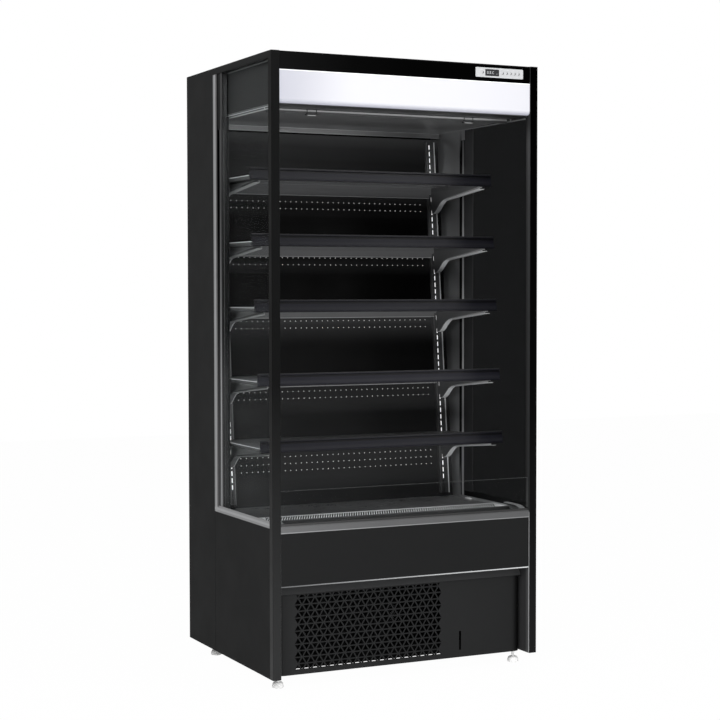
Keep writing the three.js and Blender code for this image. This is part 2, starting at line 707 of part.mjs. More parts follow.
// folded pan with stiffening ribs below it, carried by a bracket near each end
function shelfGeometry(front, rear, level, upperSlot) {
  const half = INNER - SHELF_TO_WALL;
  const ribHalf = SLOT_X - SHELF_RIB_TO_SLOT;
  const pan = alongX(folded([
    [rear, level - SHELF_REAR_FLANGE], [rear, level],
    [front, level], [front, level - SHELF_FRONT_FLANGE],
  ], SHEET), -half, half);
  const side = (x) => box(
    x, x + SHEET, front + SHEET / 2, rear - SHEET / 2, level - SHELF_SIDE_FLANGE, level - SHEET / 2,
  );
  const step = (rear - front) / SHELF_RIBS;
  const ribs = Array.from({ length: SHELF_RIBS }, (_, i) => {
    const y = front + step * (i + 0.5);
    const [wide, narrow] = [SHELF_RIB_WIDTH / 2, SHELF_RIB_WIDTH / 3];
    const top = level - SHEET + SINK;
    return alongX(outline([
      [y - wide, top], [y - narrow, top - SHELF_RIB_DEPTH],
      [y + narrow, top - SHELF_RIB_DEPTH], [y + wide, top],
    ]), -ribHalf, ribHalf);
  });
  const bracket = bracketGeometry(level, upperSlot);
  return join([pan, side(-half), side(half - SHEET), ...ribs, bracket, mirrored(bracket)]);
}

function priceStripGeometry(front, level) {
  const low = level - STRIP_BELOW;
  const back = front - GAP;
  const lean = (z) => ((z - low) / STRIP_HEIGHT) * STRIP_LEAN;
  const at = (forward, height) => {
    const z = low + height;
    return [back - STRIP_LEAN - forward + lean(z), z];
  };
  const full = STRIP_WALL + STRIP_RAIL;
  const half = INNER - STRIP_TO_WALL;
  return alongX(outline([
    at(0, 0), [back, low], [back, level - 1], at(0, STRIP_BELOW + 2), at(0, STRIP_HEIGHT),
    at(full, STRIP_HEIGHT - 1), at(full, STRIP_HEIGHT - 6), at(STRIP_WALL, STRIP_HEIGHT - 8),
    at(STRIP_WALL, 6), at(full, 4), at(full, 0),
  ].reverse()), -half, half);
}

// the slots between the lowest and the highest shelf are shared out evenly
function addShelves() {
  for (let i = 0; i < SHELVES; i += 1) {
    const share = ((SHELF_LAST_SLOT - SHELF_FIRST_SLOT) * i) / (SHELVES - 1);
    const slot = SHELF_FIRST_SLOT + Math.round(share);
    const hookTop = leaningPoint(slotBase(slot) + HOOK_NECK, 0)[1];
    const level = hookTop + SHELF_OVER_HOOK;
    const upright = leaningPoint((level - DECK_LEVEL) / Math.cos(LEAN), -UPRIGHT_DEPTH)[0];
    const rear = upright - SHELF_TO_UPRIGHT;
    const front = rear - SHELF_DEPTH;
    const number = SHELVES - i;
    add(`shelf_${number}`, shelfGeometry(front, rear, level, slot), shelfSteel());
    add(`price_strip_${number}`, priceStripGeometry(front, level), stripPlastic());
  }
}

// ---------- canopy ----------
function fasciaGeometry() {
  const sheet = alongX(folded([
    [FACE_SETBACK + FASCIA_LIP, FASCIA_BOTTOM + GAP], [FACE_SETBACK, FASCIA_BOTTOM + GAP],
    [FACE_SETBACK, FASCIA_TOP], [ROOF_FRONT - GAP, FASCIA_TOP],
  ].reverse(), SHEET), -SPAN, SPAN);
  const inset = CONTROLLER_BODY_INSET - GAP;
  const halfWidth = CONTROLLER_WIDTH / 2 - inset;
  const halfHeight = CONTROLLER_HEIGHT / 2 - inset;
  return cut(sheet, [box(
    CONTROLLER_X - halfWidth, CONTROLLER_X + halfWidth, 0, FACE_SETBACK + SHEET + PIERCE,
    CONTROLLER_Z - halfHeight, CONTROLLER_Z + halfHeight,
  )]);
}

function lightPanelGeometry() {
  const y = FACE_SETBACK;
  const corner = arcPoints(
    y + LIGHT_BEND, LIGHT_BOTTOM + LIGHT_BEND, LIGHT_BEND, 1.5 * Math.PI, Math.PI, 5,
  );
  return alongX(folded([
    [LIGHT_LIP, LIGHT_BOTTOM], ...corner, [y, FASCIA_BOTTOM - GAP],
  ].reverse(), LIGHT_WALL), -SPAN, SPAN);
}

function canopyGeometry() {
  const half = SPAN - COVER_THICKNESS + SINK;
  const bottom = LIGHT_BOTTOM - GAP;
  const housing = alongX(folded([
    [POCKET_FRONT, bottom + CEILING_EDGE], [POCKET_FRONT, bottom - SHEET],
    [LIGHT_BEND, bottom - SHEET],
  ].reverse(), SHEET), -half, half);
  const lampPlate = box(
    -half, half, LIGHT_BACK, LIGHT_BACK + SHEET, bottom - SHEET / 2, LAMP_PLATE_TOP,
  );
  const ceiling = alongX(folded([
    [CEILING_REAR, HEADER_LEVEL], [CEILING_REAR, CEILING_LEVEL - CEILING_FALL],
    [CEILING_FRONT, CEILING_LEVEL], [CEILING_FRONT, CEILING_LEVEL + CEILING_EDGE],
  ].reverse(), SHEET), -half, half);
  const cover = (x) => box(
    x, x + COVER_THICKNESS, TANK_FRONT, CEILING_REAR, LIGHT_BOTTOM - COVER_DROP,
    ROOF_BOTTOM - GAP,
  );
  const whole = join([housing, lampPlate, ceiling, cover(-SPAN), cover(SPAN - COVER_THICKNESS)]);
  const first = OUTLET_END + OUTLET_WIDTH / 2 - INNER;
  const pitch = (-2 * first) / (OUTLET_SLOTS - 1);
  const slots = Array.from({ length: OUTLET_SLOTS }, (_, i) => box(
    first + i * pitch - OUTLET_WIDTH / 2, first + i * pitch + OUTLET_WIDTH / 2,
    OUTLET_START, OUTLET_START + OUTLET_LENGTH,
    CEILING_LEVEL - CEILING_FALL, CEILING_LEVEL + CEILING_FALL,
  ));
  return cut(whole, slots);
}

function addCanopy() {
  add('fascia', fasciaGeometry(), blackPaint());
  add('light_panel', lightPanelGeometry(), whitePlastic());
  add('canopy_ceiling', canopyGeometry(), interiorPaint());
  const back = LIGHT_BACK - GAP;
  const lamp = alongX(outline([
    [back, LAMP_LEVEL - LAMP_HEIGHT / 2], [back, LAMP_LEVEL + LAMP_HEIGHT / 2],
    [back - LAMP_DEPTH / 2, LAMP_LEVEL + LAMP_HEIGHT / 2],
    [back - LAMP_DEPTH, LAMP_LEVEL + LAMP_HEIGHT / 4],
    [back - LAMP_DEPTH, LAMP_LEVEL - LAMP_HEIGHT / 4],
    [back - LAMP_DEPTH / 2, LAMP_LEVEL - LAMP_HEIGHT / 2],
  ].reverse()), LAMP_TO_WALL - INNER, INNER - LAMP_TO_WALL);
  add('lamp_strip', lamp, whitePlastic());
}

// ---------- night blind ----------
function addNightBlind() {
  const rollerY = BLIND_Y + BLIND_CLOTH / 2 + GAP + BLIND_ROLLER_RADIUS;
  const pinEnd = SPAN - COVER_THICKNESS - GAP;
  const half = BLIND_HALF;
  const roller = turnedZ([
    [0, -pinEnd], [BLIND_PIN_RADIUS, -pinEnd], [BLIND_PIN_RADIUS, -half],
    [BLIND_ROLLER_RADIUS, -half], [BLIND_ROLLER_RADIUS, half], [BLIND_PIN_RADIUS, half],
    [BLIND_PIN_RADIUS, pinEnd], [0, pinEnd],
  ], 16).rotateY(Math.PI / 2).translate(0, rollerY, BLIND_ROLLER_LEVEL);
  add('blind_roller', roller, lightSteel());
  const clothHalf = INNER - BLIND_CLOTH_TO_WALL;
  add('blind_cloth', box(
    -clothHalf, clothHalf, BLIND_Y - BLIND_CLOTH / 2, BLIND_Y + BLIND_CLOTH / 2,
    BLIND_BAR_TOP + GAP, BLIND_ROLLER_LEVEL,
  ), clothWeave());
  const bottom = BLIND_BAR_TOP - BLIND_BAR_HEIGHT;
  const depth = BLIND_BAR_DEPTH / 2;
  const chamfer = depth / 4;
  const waist = bottom + depth;
  const neck = BLIND_BAR_NECK;
  const barHalf = INNER - BLIND_BAR_TO_WALL;
  const bar = alongX(outline([
    [BLIND_Y - depth, bottom + chamfer], [BLIND_Y - depth + chamfer, bottom],
    [BLIND_Y + depth - chamfer, bottom], [BLIND_Y + depth, bottom + chamfer],
    [BLIND_Y + depth, waist], [BLIND_Y + neck, waist + depth / 2],
    [BLIND_Y + neck, BLIND_BAR_TOP], [BLIND_Y - neck, BLIND_BAR_TOP],
    [BLIND_Y - neck, waist + depth / 2], [BLIND_Y - depth, waist],
  ]), -barHalf, barHalf);
  const handle = (x) => alongX(folded([
    [BLIND_Y + 2, bottom + SINK], [BLIND_Y + 2, bottom - BLIND_HANDLE_DROP],
    [BLIND_Y - depth, bottom - BLIND_HANDLE_DROP - chamfer],
  ].reverse(), BLIND_HANDLE_WALL), x - BLIND_HANDLE_WIDTH / 2, x + BLIND_HANDLE_WIDTH / 2);
  const handleX = INNER - BLIND_HANDLE_TO_WALL;
  add('blind_bar', join([bar, handle(-handleX), handle(handleX)]), lightSteel());
}

// ---------- controller ----------
function keyPlaces() {
  const row = Array.from({ length: KEYS }, (_, i) => FIRST_KEY_OFFSET + i * KEY_PITCH);
  return [POWER_KEY_OFFSET, ...row].map((offset) => CONTROLLER_X + offset);
}

function displayFloor() {
  return CONTROLLER_FRONT + DISPLAY_RECESS + DISPLAY_THICKNESS + GAP;
}

function bezelGeometry() {
  const back = FACE_SETBACK - GAP;
  const face = alongY(
    roundedBox(CONTROLLER_WIDTH, CONTROLLER_HEIGHT, CONTROLLER_RADIUS), CONTROLLER_FRONT, back, 2,
  ).translate(CONTROLLER_X, 0, CONTROLLER_Z);
  const halfWidth = CONTROLLER_WIDTH / 2 - CONTROLLER_BODY_INSET;
  const halfHeight = CONTROLLER_HEIGHT / 2 - CONTROLLER_BODY_INSET;
  const body = box(
    CONTROLLER_X - halfWidth, CONTROLLER_X + halfWidth, back - SINK, CONTROLLER_BODY_DEPTH,
    CONTROLLER_Z - halfHeight, CONTROLLER_Z + halfHeight,
  );
  const window = box(
    DISPLAY_X - DISPLAY_WIDTH / 2, DISPLAY_X + DISPLAY_WIDTH / 2, 0, displayFloor(),
    CONTROLLER_Z - DISPLAY_HEIGHT / 2, CONTROLLER_Z + DISPLAY_HEIGHT / 2,
  );
  const pockets = keyPlaces().map((x) => cylinderY(
    KEY_RADIUS + RUNNING_GAP, 0, KEY_POCKET_FLOOR, x, CONTROLLER_Z, KEY_SIDES,
  ));
  return cut(join([face, body]), [window, ...pockets]);
}

function addController() {
  add('controller_bezel', bezelGeometry(), whitePlastic());
  add('controller_display', box(
    DISPLAY_X - DISPLAY_WIDTH / 2 + GAP, DISPLAY_X + DISPLAY_WIDTH / 2 - GAP,
    CONTROLLER_FRONT + DISPLAY_RECESS, displayFloor() - GAP,
    CONTROLLER_Z - DISPLAY_HEIGHT / 2 + GAP, CONTROLLER_Z + DISPLAY_HEIGHT / 2 - GAP,
  ), finish(0x3a3c40, 0.2, 0));
  const front = CONTROLLER_FRONT - KEY_PROUD;
  keyPlaces().forEach((x, i) => {
    const cap = cylinderY(KEY_RADIUS, front, front + KEY_THICKNESS, x, CONTROLLER_Z, KEY_SIDES);
    add(i === 0 ? 'key_power' : `key_${i}`, cap, whitePlastic());
  });
}

// ---------- lower front ----------
function ledgeGeometry() {
  const low = FRONT_PANEL_TOP + GAP;
  const seat = GRILLE_LEVEL - SHEET - GAP;
  const sheet = alongX(folded([
    [LEDGE_FRONT, low], [LEDGE_FRONT, LEDGE_TOP], [LEDGE_FRONT + LEDGE_WIDTH, LEDGE_TOP],
    [LEDGE_FRONT + LEDGE_WIDTH + LEDGE_SLOPE, TROUGH_LEVEL],
    [TROUGH_REAR - TROUGH_RISE, TROUGH_LEVEL + TROUGH_FALL],
    [TROUGH_REAR, seat], [TROUGH_REAR + GRILLE_SEAT, seat],
  ].reverse(), SHEET), -SPAN, SPAN);
  const inside = RISER_THICKNESS / 2 + GAP;
  const outside = inside + RISER_HOLDER;
  const [root, groove, lip] = [
    LEDGE_TOP - SINK, LEDGE_TOP + RISER_FLOOR, LEDGE_TOP + RISER_GROOVE,
  ];
  const rail = alongX(outline([
    [RISER_Y - outside, root], [RISER_Y + outside, root], [RISER_Y + outside, lip],
    [RISER_Y + inside, lip], [RISER_Y + inside, groove], [RISER_Y - inside, groove],
    [RISER_Y - inside, lip], [RISER_Y - outside, lip],
  ]), -SPAN, SPAN);
  return join([sheet, rail]);
}

function grilleGeometry() {
  const [y0, y1] = [TROUGH_REAR + GAP, GRILLE_REAR];
  const middle = (y0 + y1) / 2;
  const [low, high] = [GRILLE_LEVEL - SHEET, GRILLE_LEVEL];
  const half = INNER - GRILLE_TO_WALL;
  const pitch = (2 * half) / GRILLE_SLOTS;
  const [w, h, s] = [GRILLE_SLOT_WIDTH / 2, GRILLE_SLOT_LENGTH / 2, GRILLE_SLOT_SLANT / 2];
  const slots = Array.from({ length: GRILLE_SLOTS }, (_, i) => {
    const x = -half + pitch * (i + 0.5);
    return alongZ(outline([
      [x - w - s, middle - h], [x - w + s, middle + h],
      [x + w + s, middle + h], [x + w - s, middle - h],
    ]), low - PIERCE, high + PIERCE);
  });
  return cut(box(-SPAN, SPAN, y0, y1, low, high), slots);
}

// notched round the uprights, so that it lifts straight out
function deckPanGeometry() {
  const front = GRILLE_REAR + GAP;
  const pan = alongX(folded([
    [REAR_PANEL_FOOT - DECK_TO_PANEL, DECK_LEVEL], [front, DECK_LEVEL],
    [front, DECK_LEVEL - DECK_FRONT_FLANGE],
  ], SHEET), -SPAN, SPAN);
  const notch = box(
    UPRIGHT_OUTER - UPRIGHT_WIDTH - DECK_TO_UPRIGHT, UPRIGHT_OUTER + DECK_TO_UPRIGHT,
    REAR_PANEL_FOOT - UPRIGHT_DEPTH - DECK_TO_UPRIGHT, REAR_PANEL_FOOT + PIERCE,
    DECK_LEVEL - SHEET - PIERCE, DECK_LEVEL + PIERCE,
  );
  return cut(pan, [notch, mirrored(notch)]);
}

function frontPanelGeometry() {
  return alongX(folded([
    [TANK_FRONT - GAP, FRONT_PANEL_BOTTOM], [FACE_SETBACK, FRONT_PANEL_BOTTOM],
    [FACE_SETBACK, FRONT_PANEL_TOP], [TANK_FRONT - GAP, FRONT_PANEL_TOP],
  ].reverse(), SHEET), -SPAN, SPAN);
}

function addLowerFront() {
  add('front_ledge', ledgeGeometry(), lightSteel());
  add('front_riser', box(
    -SPAN, SPAN, RISER_Y - RISER_THICKNESS / 2, RISER_Y + RISER_THICKNESS / 2,
    LEDGE_TOP + RISER_FLOOR + GAP, RISER_TOP,
  ), clearGlass(0xd5dde0, 0.2));
  add('return_air_grille', grilleGeometry(), lightSteel());
  add('deck_pan', deckPanGeometry(), shelfSteel());
  add('front_panel', frontPanelGeometry(), blackPaint());
}

// ---------- kick panel ----------
// triangles point up and down in turn; the top row is cut short by the fold
function kickHole(column, row) {
  const x = HOLE_LEFT + column * HOLE_PITCH_X;
  const z = HOLE_LOWEST + row * HOLE_PITCH_Z;
  const ceiling = KICK_TOP - HOLE_TO_FOLD;
  const pointsUp = (column + row) % 2 === 0;
  const [low, high] = [z - HOLE_HEIGHT / 2, z + HOLE_HEIGHT / 2];
  const half = HOLE_SIDE / 2;
  if (high <= ceiling) {
    return pointsUp
      ? outline([[x - half, low], [x, high], [x + half, low]])
      : outline([[x - half, high], [x + half, high], [x, low]]);
  }
  const share = (ceiling - low) / HOLE_HEIGHT;
  const cutHalf = half * (pointsUp ? 1 - share : share);
  return pointsUp
    ? outline([[x - half, low], [x - cutHalf, ceiling], [x + cutHalf, ceiling], [x + half, low]])
    : outline([[x - cutHalf, ceiling], [x + cutHalf, ceiling], [x, low]]);
}

function kickGeometry() {
  const half = KICK_HALF_FLAT;
  const back = KICK_FACE_Y + SHEET;
  const plate = box(-half - SINK, half + SINK, KICK_FACE_Y, back, KICK_BOTTOM, KICK_TOP);
  const punches = [];
  for (let row = 0; row < HOLE_ROWS; row += 1) {
    for (let column = 0; column < HOLE_COLUMNS; column += 1) {
      punches.push(alongY(kickHole(column, row), KICK_FACE_Y - PIERCE, back + PIERCE));
    }
  }
  const [sx, sz] = [LATCH_SLOT_WIDTH / 2, LATCH_SLOT_HEIGHT / 2];
  punches.push(box(
    LATCH_SLOT_X - sx, LATCH_SLOT_X + sx, KICK_FACE_Y - PIERCE, back + PIERCE,
    LATCH_SLOT_Z - sz, LATCH_SLOT_Z + sz,
  ));
  const bend = folded([
    [half, KICK_FACE_Y],
    ...arcPoints(half, KICK_FACE_Y + KICK_BEND, KICK_BEND, 1.5 * Math.PI, 2 * Math.PI, 6).slice(1),
    [half + KICK_BEND, KICK_RETURN_END],
  ], SHEET);
  const side = alongZ(bend, KICK_BOTTOM, KICK_TOP);
  const flangeY = KICK_FACE_Y + KICK_FLANGE_BACK;
  const flange = alongX(folded([
    [KICK_FACE_Y, KICK_TOP - SINK], [flangeY, KICK_TOP + KICK_FLANGE_RISE],
    [flangeY + KICK_FLANGE_LIP, KICK_TOP + KICK_FLANGE_RISE],
  ].reverse(), SHEET), -half - KICK_BEND, half + KICK_BEND);
  return join([cut(plate, punches), side, mirrored(side), flange]);
}

// ---------- base, feet and machine compartment ----------
function baseGeometry() {
  const outer = INNER - 2 * GAP;
  const railInner = INNER - RAIL_TO_WALL;
  const nose = INNER - RAIL_NOSE_TO_WALL;
  const stop = KICK_FACE_Y + SHEET + GAP;
  const step = KICK_RETURN_END + 2;
  const rail = alongZ(outline([
    [railInner, stop], [KICK_HALF_FLAT, stop], [nose, RAIL_SHOULDER], [nose, step],
    [outer, step], [outer, BASE_REAR], [railInner, BASE_REAR],
  ]), BASE_LEVEL, RAIL_TOP);
  const reach = railInner + SINK;
  const floor = box(-reach, reach, step, BASE_REAR - SINK, RAIL_TOP - SHEET, RAIL_TOP);
  const lip = box(-reach, reach, step, step + SHEET, RAIL_TOP - BASE_LIP, RAIL_TOP - SHEET / 2);
  const rearFace = BASE_REAR - SHEET / 4;
  const back = box(-outer, outer, BASE_REAR - SHEET, rearFace, RAIL_TOP - SINK, TANK_BOTTOM - GAP);
  const louvreHalf = INNER - LOUVRE_TO_WALL;
  const louvres = Array.from({ length: LOUVRES }, (_, i) => {
    const z = LOUVRE_LOWEST + i * LOUVRE_PITCH;
    return box(
      -louvreHalf, louvreHalf, BASE_REAR - SHEET - PIERCE, BASE_REAR + PIERCE,
      z, z + LOUVRE_HEIGHT,
    );
  });
  const whole = join([rail, mirrored(rail), floor, lip, cut(back, louvres)]);
  const bores = footPlaces().map(([x, y]) => cylinderZ(
    FOOT_STEM_RADIUS + RUNNING_GAP, BASE_LEVEL - PIERCE, FOOT_STEM_TOP + 2, x, y, FOOT_SIDES,
  ));
  return cut(whole, bores);
}

// front left, front right, rear left and rear right
function footPlaces() {
  const rear = DEPTH - FOOT_TO_BACK;
  return [[-FOOT_X, FOOT_FRONT_Y], [FOOT_X, FOOT_FRONT_Y], [-FOOT_X, rear], [FOOT_X, rear]];
}

function footGeometry() {
  const rim = FOOT_DISC_RADIUS;
  const floor = -FOOT_HEIGHT;
  const top = floor + FOOT_DISC_HEIGHT;
  return turnedZ([
    [0, floor], [rim - FOOT_DISC_CHAMFER, floor], [rim, floor + FOOT_DISC_CHAMFER],
    [rim, floor + FOOT_DISC_EDGE], [FOOT_COLLAR_RADIUS, top], [FOOT_STEM_RADIUS, top],
    [FOOT_STEM_RADIUS, FOOT_STEM_TOP], [0, FOOT_STEM_TOP],
  ], FOOT_SIDES);
}

function compressorGeometry() {
  const [r, h, lift] = [COMPRESSOR_RADIUS, COMPRESSOR_HEIGHT, COMPRESSOR_LIFT];
  const can = turnedZ([
    [0, 2 * lift - SINK], [r * 0.8, 2 * lift - SINK], [r, h * 0.18], [r, h * 0.46],
    [r * 1.03, h * 0.48], [r * 1.03, h * 0.53], [r, h * 0.55], [r * 0.9, h * 0.86],
    [r * 0.5, h], [0, h],
  ], 18);
  const plate = box(-r * 1.1, r * 1.1, -r * 0.6, r * 0.6, lift, 2 * lift);
  const mounts = [-1, 1].flatMap((a) => [-1, 1].map((b) => cylinderZ(
    r * 0.11, 0, lift + SINK, a * r * 0.93, b * r * 0.45, 8,
  )));
  const terminalBox = box(-r * 0.27, r * 0.27, -r * 1.17, -r * 0.83, h * 0.5, h * 0.78);
  return join([can, plate, terminalBox, ...mounts]);
}

// finned block: deep grooves between thin fins, with a tube plate along both ends
function finnedBlock(halfWidth, depth, height, fins) {
  const pitch = (2 * halfWidth) / fins;
  const points = [[-halfWidth, 0], [halfWidth, 0]];
  for (let i = fins - 1; i >= 0; i -= 1) {
    const x = -halfWidth + i * pitch;
    points.push([x + pitch, depth], [x + pitch * 0.7, depth]);
    points.push([x + pitch * 0.7, depth * 0.55], [x, depth * 0.55]);
    if (i > 0) points.push([x, depth]);
  }
  points.push([-halfWidth, depth * 0.55]);
  return alongZ(outline(points), 0, height);
}

// plate with a round opening, a bridge behind it and the motor whose shaft carries the fan
function fanShroud(radius, width, height, wall, motorY) {
  const ring = radius + FAN_RING_CLEARANCE;
  const [w, h] = [width / 2, height / 2];
  const shape = outline([[-w, -h], [w, -h], [w, h], [-w, h]]);
  const hole = new THREE.Path();
  hole.absarc(0, 0, ring, 0, 2 * Math.PI, true);
  shape.holes.push(hole);
  const face = alongY(shape, 0, wall, 12);
  const [a, half] = [FAN_ARM, FAN_ARM_WIDTH / 2];
  const bridge = box(-ring - a, ring + a, motorY, motorY + a, -half, half);
  const legs = [-ring - a, ring].map((x) => box(x, x + a, wall - SINK, motorY + a, -half, half));
  const front = motorY - FAN_TO_MOTOR;
  const motor = cylinderY(FAN_HUB_RADIUS, front, front + FAN_MOTOR_DEPTH, 0, 0, 12);
  const shaft = cylinderY(FAN_SHAFT_RADIUS, front - FAN_HUB_DEPTH, motorY, 0, 0, 12);
  return [face, bridge, ...legs, motor, shaft];
}

// where the fan sits before the motor, measured from the shroud's face
function fanPlace(motorY) {
  return motorY - FAN_TO_MOTOR - FAN_HUB_DEPTH - GAP;
}

// blades lie across the hub at a slant, and the hub is bored for the shaft
function fanGeometry(radius) {
  const depth = FAN_HUB_DEPTH;
  const hub = cylinderY(FAN_HUB_RADIUS, 0, depth, 0, 0, 12);
  const root = FAN_HUB_RADIUS - FAN_BLADE_LAP;
  const wall = FAN_BLADE_WALL / 2;
  const blades = Array.from({ length: FAN_BLADES }, (_, i) => {
    const blade = alongZ(outline([
      [-radius * 0.27, -wall], [radius * 0.2, -wall], [radius * 0.27, wall], [-radius * 0.2, wall],
    ]), 0, radius - root);
    blade.rotateZ(-0.42);
    blade.translate(0, depth / 2, root);
    return blade.rotateY((i * 2 * Math.PI) / FAN_BLADES);
  });
  const bore = cylinderY(FAN_SHAFT_RADIUS + RUNNING_GAP, -PIERCE, depth + PIERCE, 0, 0, 12);
  return cut(join([hub, ...blades]), [bore]);
}

function addMachine() {
  add('kick_panel', kickGeometry(), blackPaint());
  add('base_frame', baseGeometry(), shelfSteel());
  const foot = footGeometry();
  const names = ['front_left', 'front_right', 'rear_left', 'rear_right'];
  footPlaces().forEach(([x, y], i) => {
    add(`foot_${names[i]}`, foot.clone(), whiteFoot()).position.set(x, y, 0);
  });
  const floor = RAIL_TOP + GAP;
  const compressor = add('compressor', compressorGeometry(), blackPaint());
  compressor.position.set(INNER - COMPRESSOR_TO_WALL, COMPRESSOR_Y, floor);
  addCondenser(COIL_TO_WALL - INNER, floor + COIL_HEIGHT / 2);
  addDripTray(floor);
}

function addCondenser(x, z) {
  const coil = finnedBlock(COIL_WIDTH / 2, COIL_DEPTH, COIL_HEIGHT, COIL_FINS)
    .translate(0, 0, -COIL_HEIGHT / 2)
    .rotateZ(Math.PI)
    .translate(0, COIL_DEPTH, 0);
  const motorY = SHROUD_DEPTH + FAN_HUB_DEPTH;
  const shroudY = COIL_DEPTH - SINK;
  const shroud = fanShroud(FAN_RADIUS, COIL_WIDTH, COIL_HEIGHT, SHROUD_WALL, motorY)
    .map((piece) => piece.translate(0, shroudY, 0));
  const condenser = add('condenser', join([coil, ...shroud]), copper());
  condenser.position.set(x, COIL_FRONT, z);
  const fan = add('condenser_fan', fanGeometry(FAN_RADIUS), blackPaint());
  fan.position.set(x, COIL_FRONT + shroudY + fanPlace(motorY), z);
}

function addDripTray(floor) {
  const [w, d, wall] = [TRAY_WIDTH / 2, TRAY_DEPTH / 2, TRAY_WALL];
  const tray = box(TRAY_X - w, TRAY_X + w, TRAY_Y - d, TRAY_Y + d, floor, floor + TRAY_HEIGHT);
  const hollow = box(
    TRAY_X - w + wall, TRAY_X + w - wall, TRAY_Y - d + wall, TRAY_Y + d - wall,
    floor + wall, floor + TRAY_HEIGHT + PIERCE,
  );
  add('drip_tray', cut(tray, [hollow]), shelfSteel());
}

function addEvaporator() {
  const floor = TANK_BOTTOM + TANK_FLOOR + GAP;
  const plateHeight = DECK_LEVEL - SHEET - GAP - floor;
  const half = INNER - EVAP_TO_WALL;
  const motorY = EVAP_FAN_REACH + FAN_HUB_DEPTH;
  const centre = floor + plateHeight / 2;
  const front = REAR_PANEL_FOOT - EVAP_TO_PANEL;
  const plateY = front - EVAP_PLENUM;
  const coil = finnedBlock(half, EVAP_DEPTH, EVAP_HEIGHT, EVAP_FINS).translate(0, front, floor);
  const shroud = fanShroud(EVAP_FAN_RADIUS, 2 * half, plateHeight, EVAP_WALL, motorY)
    .map((piece) => piece.translate(0, plateY, centre));
  const cheeks = [-half, half - EVAP_WALL].map((x) => box(
    x, x + EVAP_WALL, plateY, front + EVAP_DEPTH / 2, floor, floor + EVAP_HEIGHT,
  ));
  add('evaporator', join([coil, ...shroud, ...cheeks]), lightSteel());
  const fan = add('evaporator_fan', fanGeometry(EVAP_FAN_RADIUS), blackPaint());
  fan.position.set(0, plateY + fanPlace(motorY), centre);
}

addEndWalls();
addShell();
addRearPanel();
addShelves();
addCanopy();
addNightBlind();
addController();
addLowerFront();
addMachine();
addEvaporator();

export default fridge;
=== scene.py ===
from math import cos, pi, radians, sin

import bpy
from mathutils import Matrix, Vector


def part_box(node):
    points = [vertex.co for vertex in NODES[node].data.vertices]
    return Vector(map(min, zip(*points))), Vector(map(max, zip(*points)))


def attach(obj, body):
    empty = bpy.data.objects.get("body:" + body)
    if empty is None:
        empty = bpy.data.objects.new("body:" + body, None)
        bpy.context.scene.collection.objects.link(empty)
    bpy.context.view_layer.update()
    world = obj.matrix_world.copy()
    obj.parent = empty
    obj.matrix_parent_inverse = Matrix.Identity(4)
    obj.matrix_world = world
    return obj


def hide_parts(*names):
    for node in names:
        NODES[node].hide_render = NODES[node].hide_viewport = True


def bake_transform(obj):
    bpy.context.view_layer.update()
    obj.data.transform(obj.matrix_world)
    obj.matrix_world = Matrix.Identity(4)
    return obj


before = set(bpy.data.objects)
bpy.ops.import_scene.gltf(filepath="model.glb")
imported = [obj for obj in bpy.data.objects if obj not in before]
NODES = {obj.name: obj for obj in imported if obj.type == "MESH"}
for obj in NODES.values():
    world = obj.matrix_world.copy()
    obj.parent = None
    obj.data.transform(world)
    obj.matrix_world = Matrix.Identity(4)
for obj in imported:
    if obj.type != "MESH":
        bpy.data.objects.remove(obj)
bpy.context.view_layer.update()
HANDS = [("left", -1), ("right", 1)]

# Lengths are metres in the CAD model's frame: the origin is on the floor below the middle of the
# cabinet, and the front faces -Y. Masks run from 0 to 1.

# cabinet: inner face of the end walls, and heights
INNER = 0.461
RECESS_TOP = 0.333
SILL_TOP = 0.5362
WINDOW_TOP = 1.829
COVER_FOOT, COVER_TOP = 1.8720, 2.0172

# leaning rear panel and the slots of its uprights
LEAN = radians(5.33)
PANEL_FOOT = Vector((0, 0.154, 0.5263))
SLOT_X, SLOT_COUNT = 0.417, 53
SLOT_FIRST, SLOT_PITCH, SLOT_LENGTH = 0.0144, 0.0244, 0.0196
# painted light behind the upright slots: length, half width and depths of the glowing strips
GLOW_LENGTH, GLOW_HALF, GLOW_DEPTHS = 0.0160, 0.004, (0.0133, 0.0129)

# shelves, from the top one down
SHELF_NAMES = ["one", "two", "three", "four", "five"]
SHELF_TOPS = [1.6649, 1.4462, 1.2276, 0.9846, 0.7660]
SHELF_FRONTS = [-0.1187, -0.1391, -0.1595, -0.1821, -0.2025]
SHELF_SLOTS = [45, 36, 27, 17, 8]
SHELVES = list(zip(SHELF_NAMES, SHELF_TOPS, SHELF_FRONTS))
# painted shade: rails nearer the lamp are painted darker, so that all five look alike
STRIP_TONES = [0.36, 0.46, 0.58, 0.85, 0.70]
BRACKET_X = 0.4184

# air holes in rows below each shelf: count, drop of the first row, and the steps between holes
AIR_COLUMNS, AIR_FIRST, AIR_STEP, AIR_ROW_STEP = 37, -0.3762, 0.0209, 0.0248
AIR_ROWS = [2, 2, 2, 2, 3]
AIR_DROPS = [0.0636, 0.0453, 0.0524, 0.0592, 0.0692]
AIR_SIDES = 10
AIR_RIM = [(0.0020, 0.0001), (0.0019, 0.0005), (0.0015, 0.0006), (0.0012, 0.0001)]
AIR_EYE = [(0.0012, 0.00015), (0.0001, 0.00012)]

# kick panel: triangular holes, the painted shadow round each, the fold above and the latch slot
HOLE_COLUMNS, HOLE_FIRST, HOLE_STEP_X = 35, -0.384, 0.0152
HOLE_LOWEST, HOLE_STEP_Z, HOLE_END = 0.0657, 0.02135, 0.3000
SHADOW_HALF, SHADOW_SHARE = 0.0112, 0.84
FOLD_LOW, FOLD_HIGH = 0.3030, 0.3040
LATCH_X, LATCH_HALF, LATCH_LOW, LATCH_HIGH = 0.216, 0.0040, 0.066, 0.130

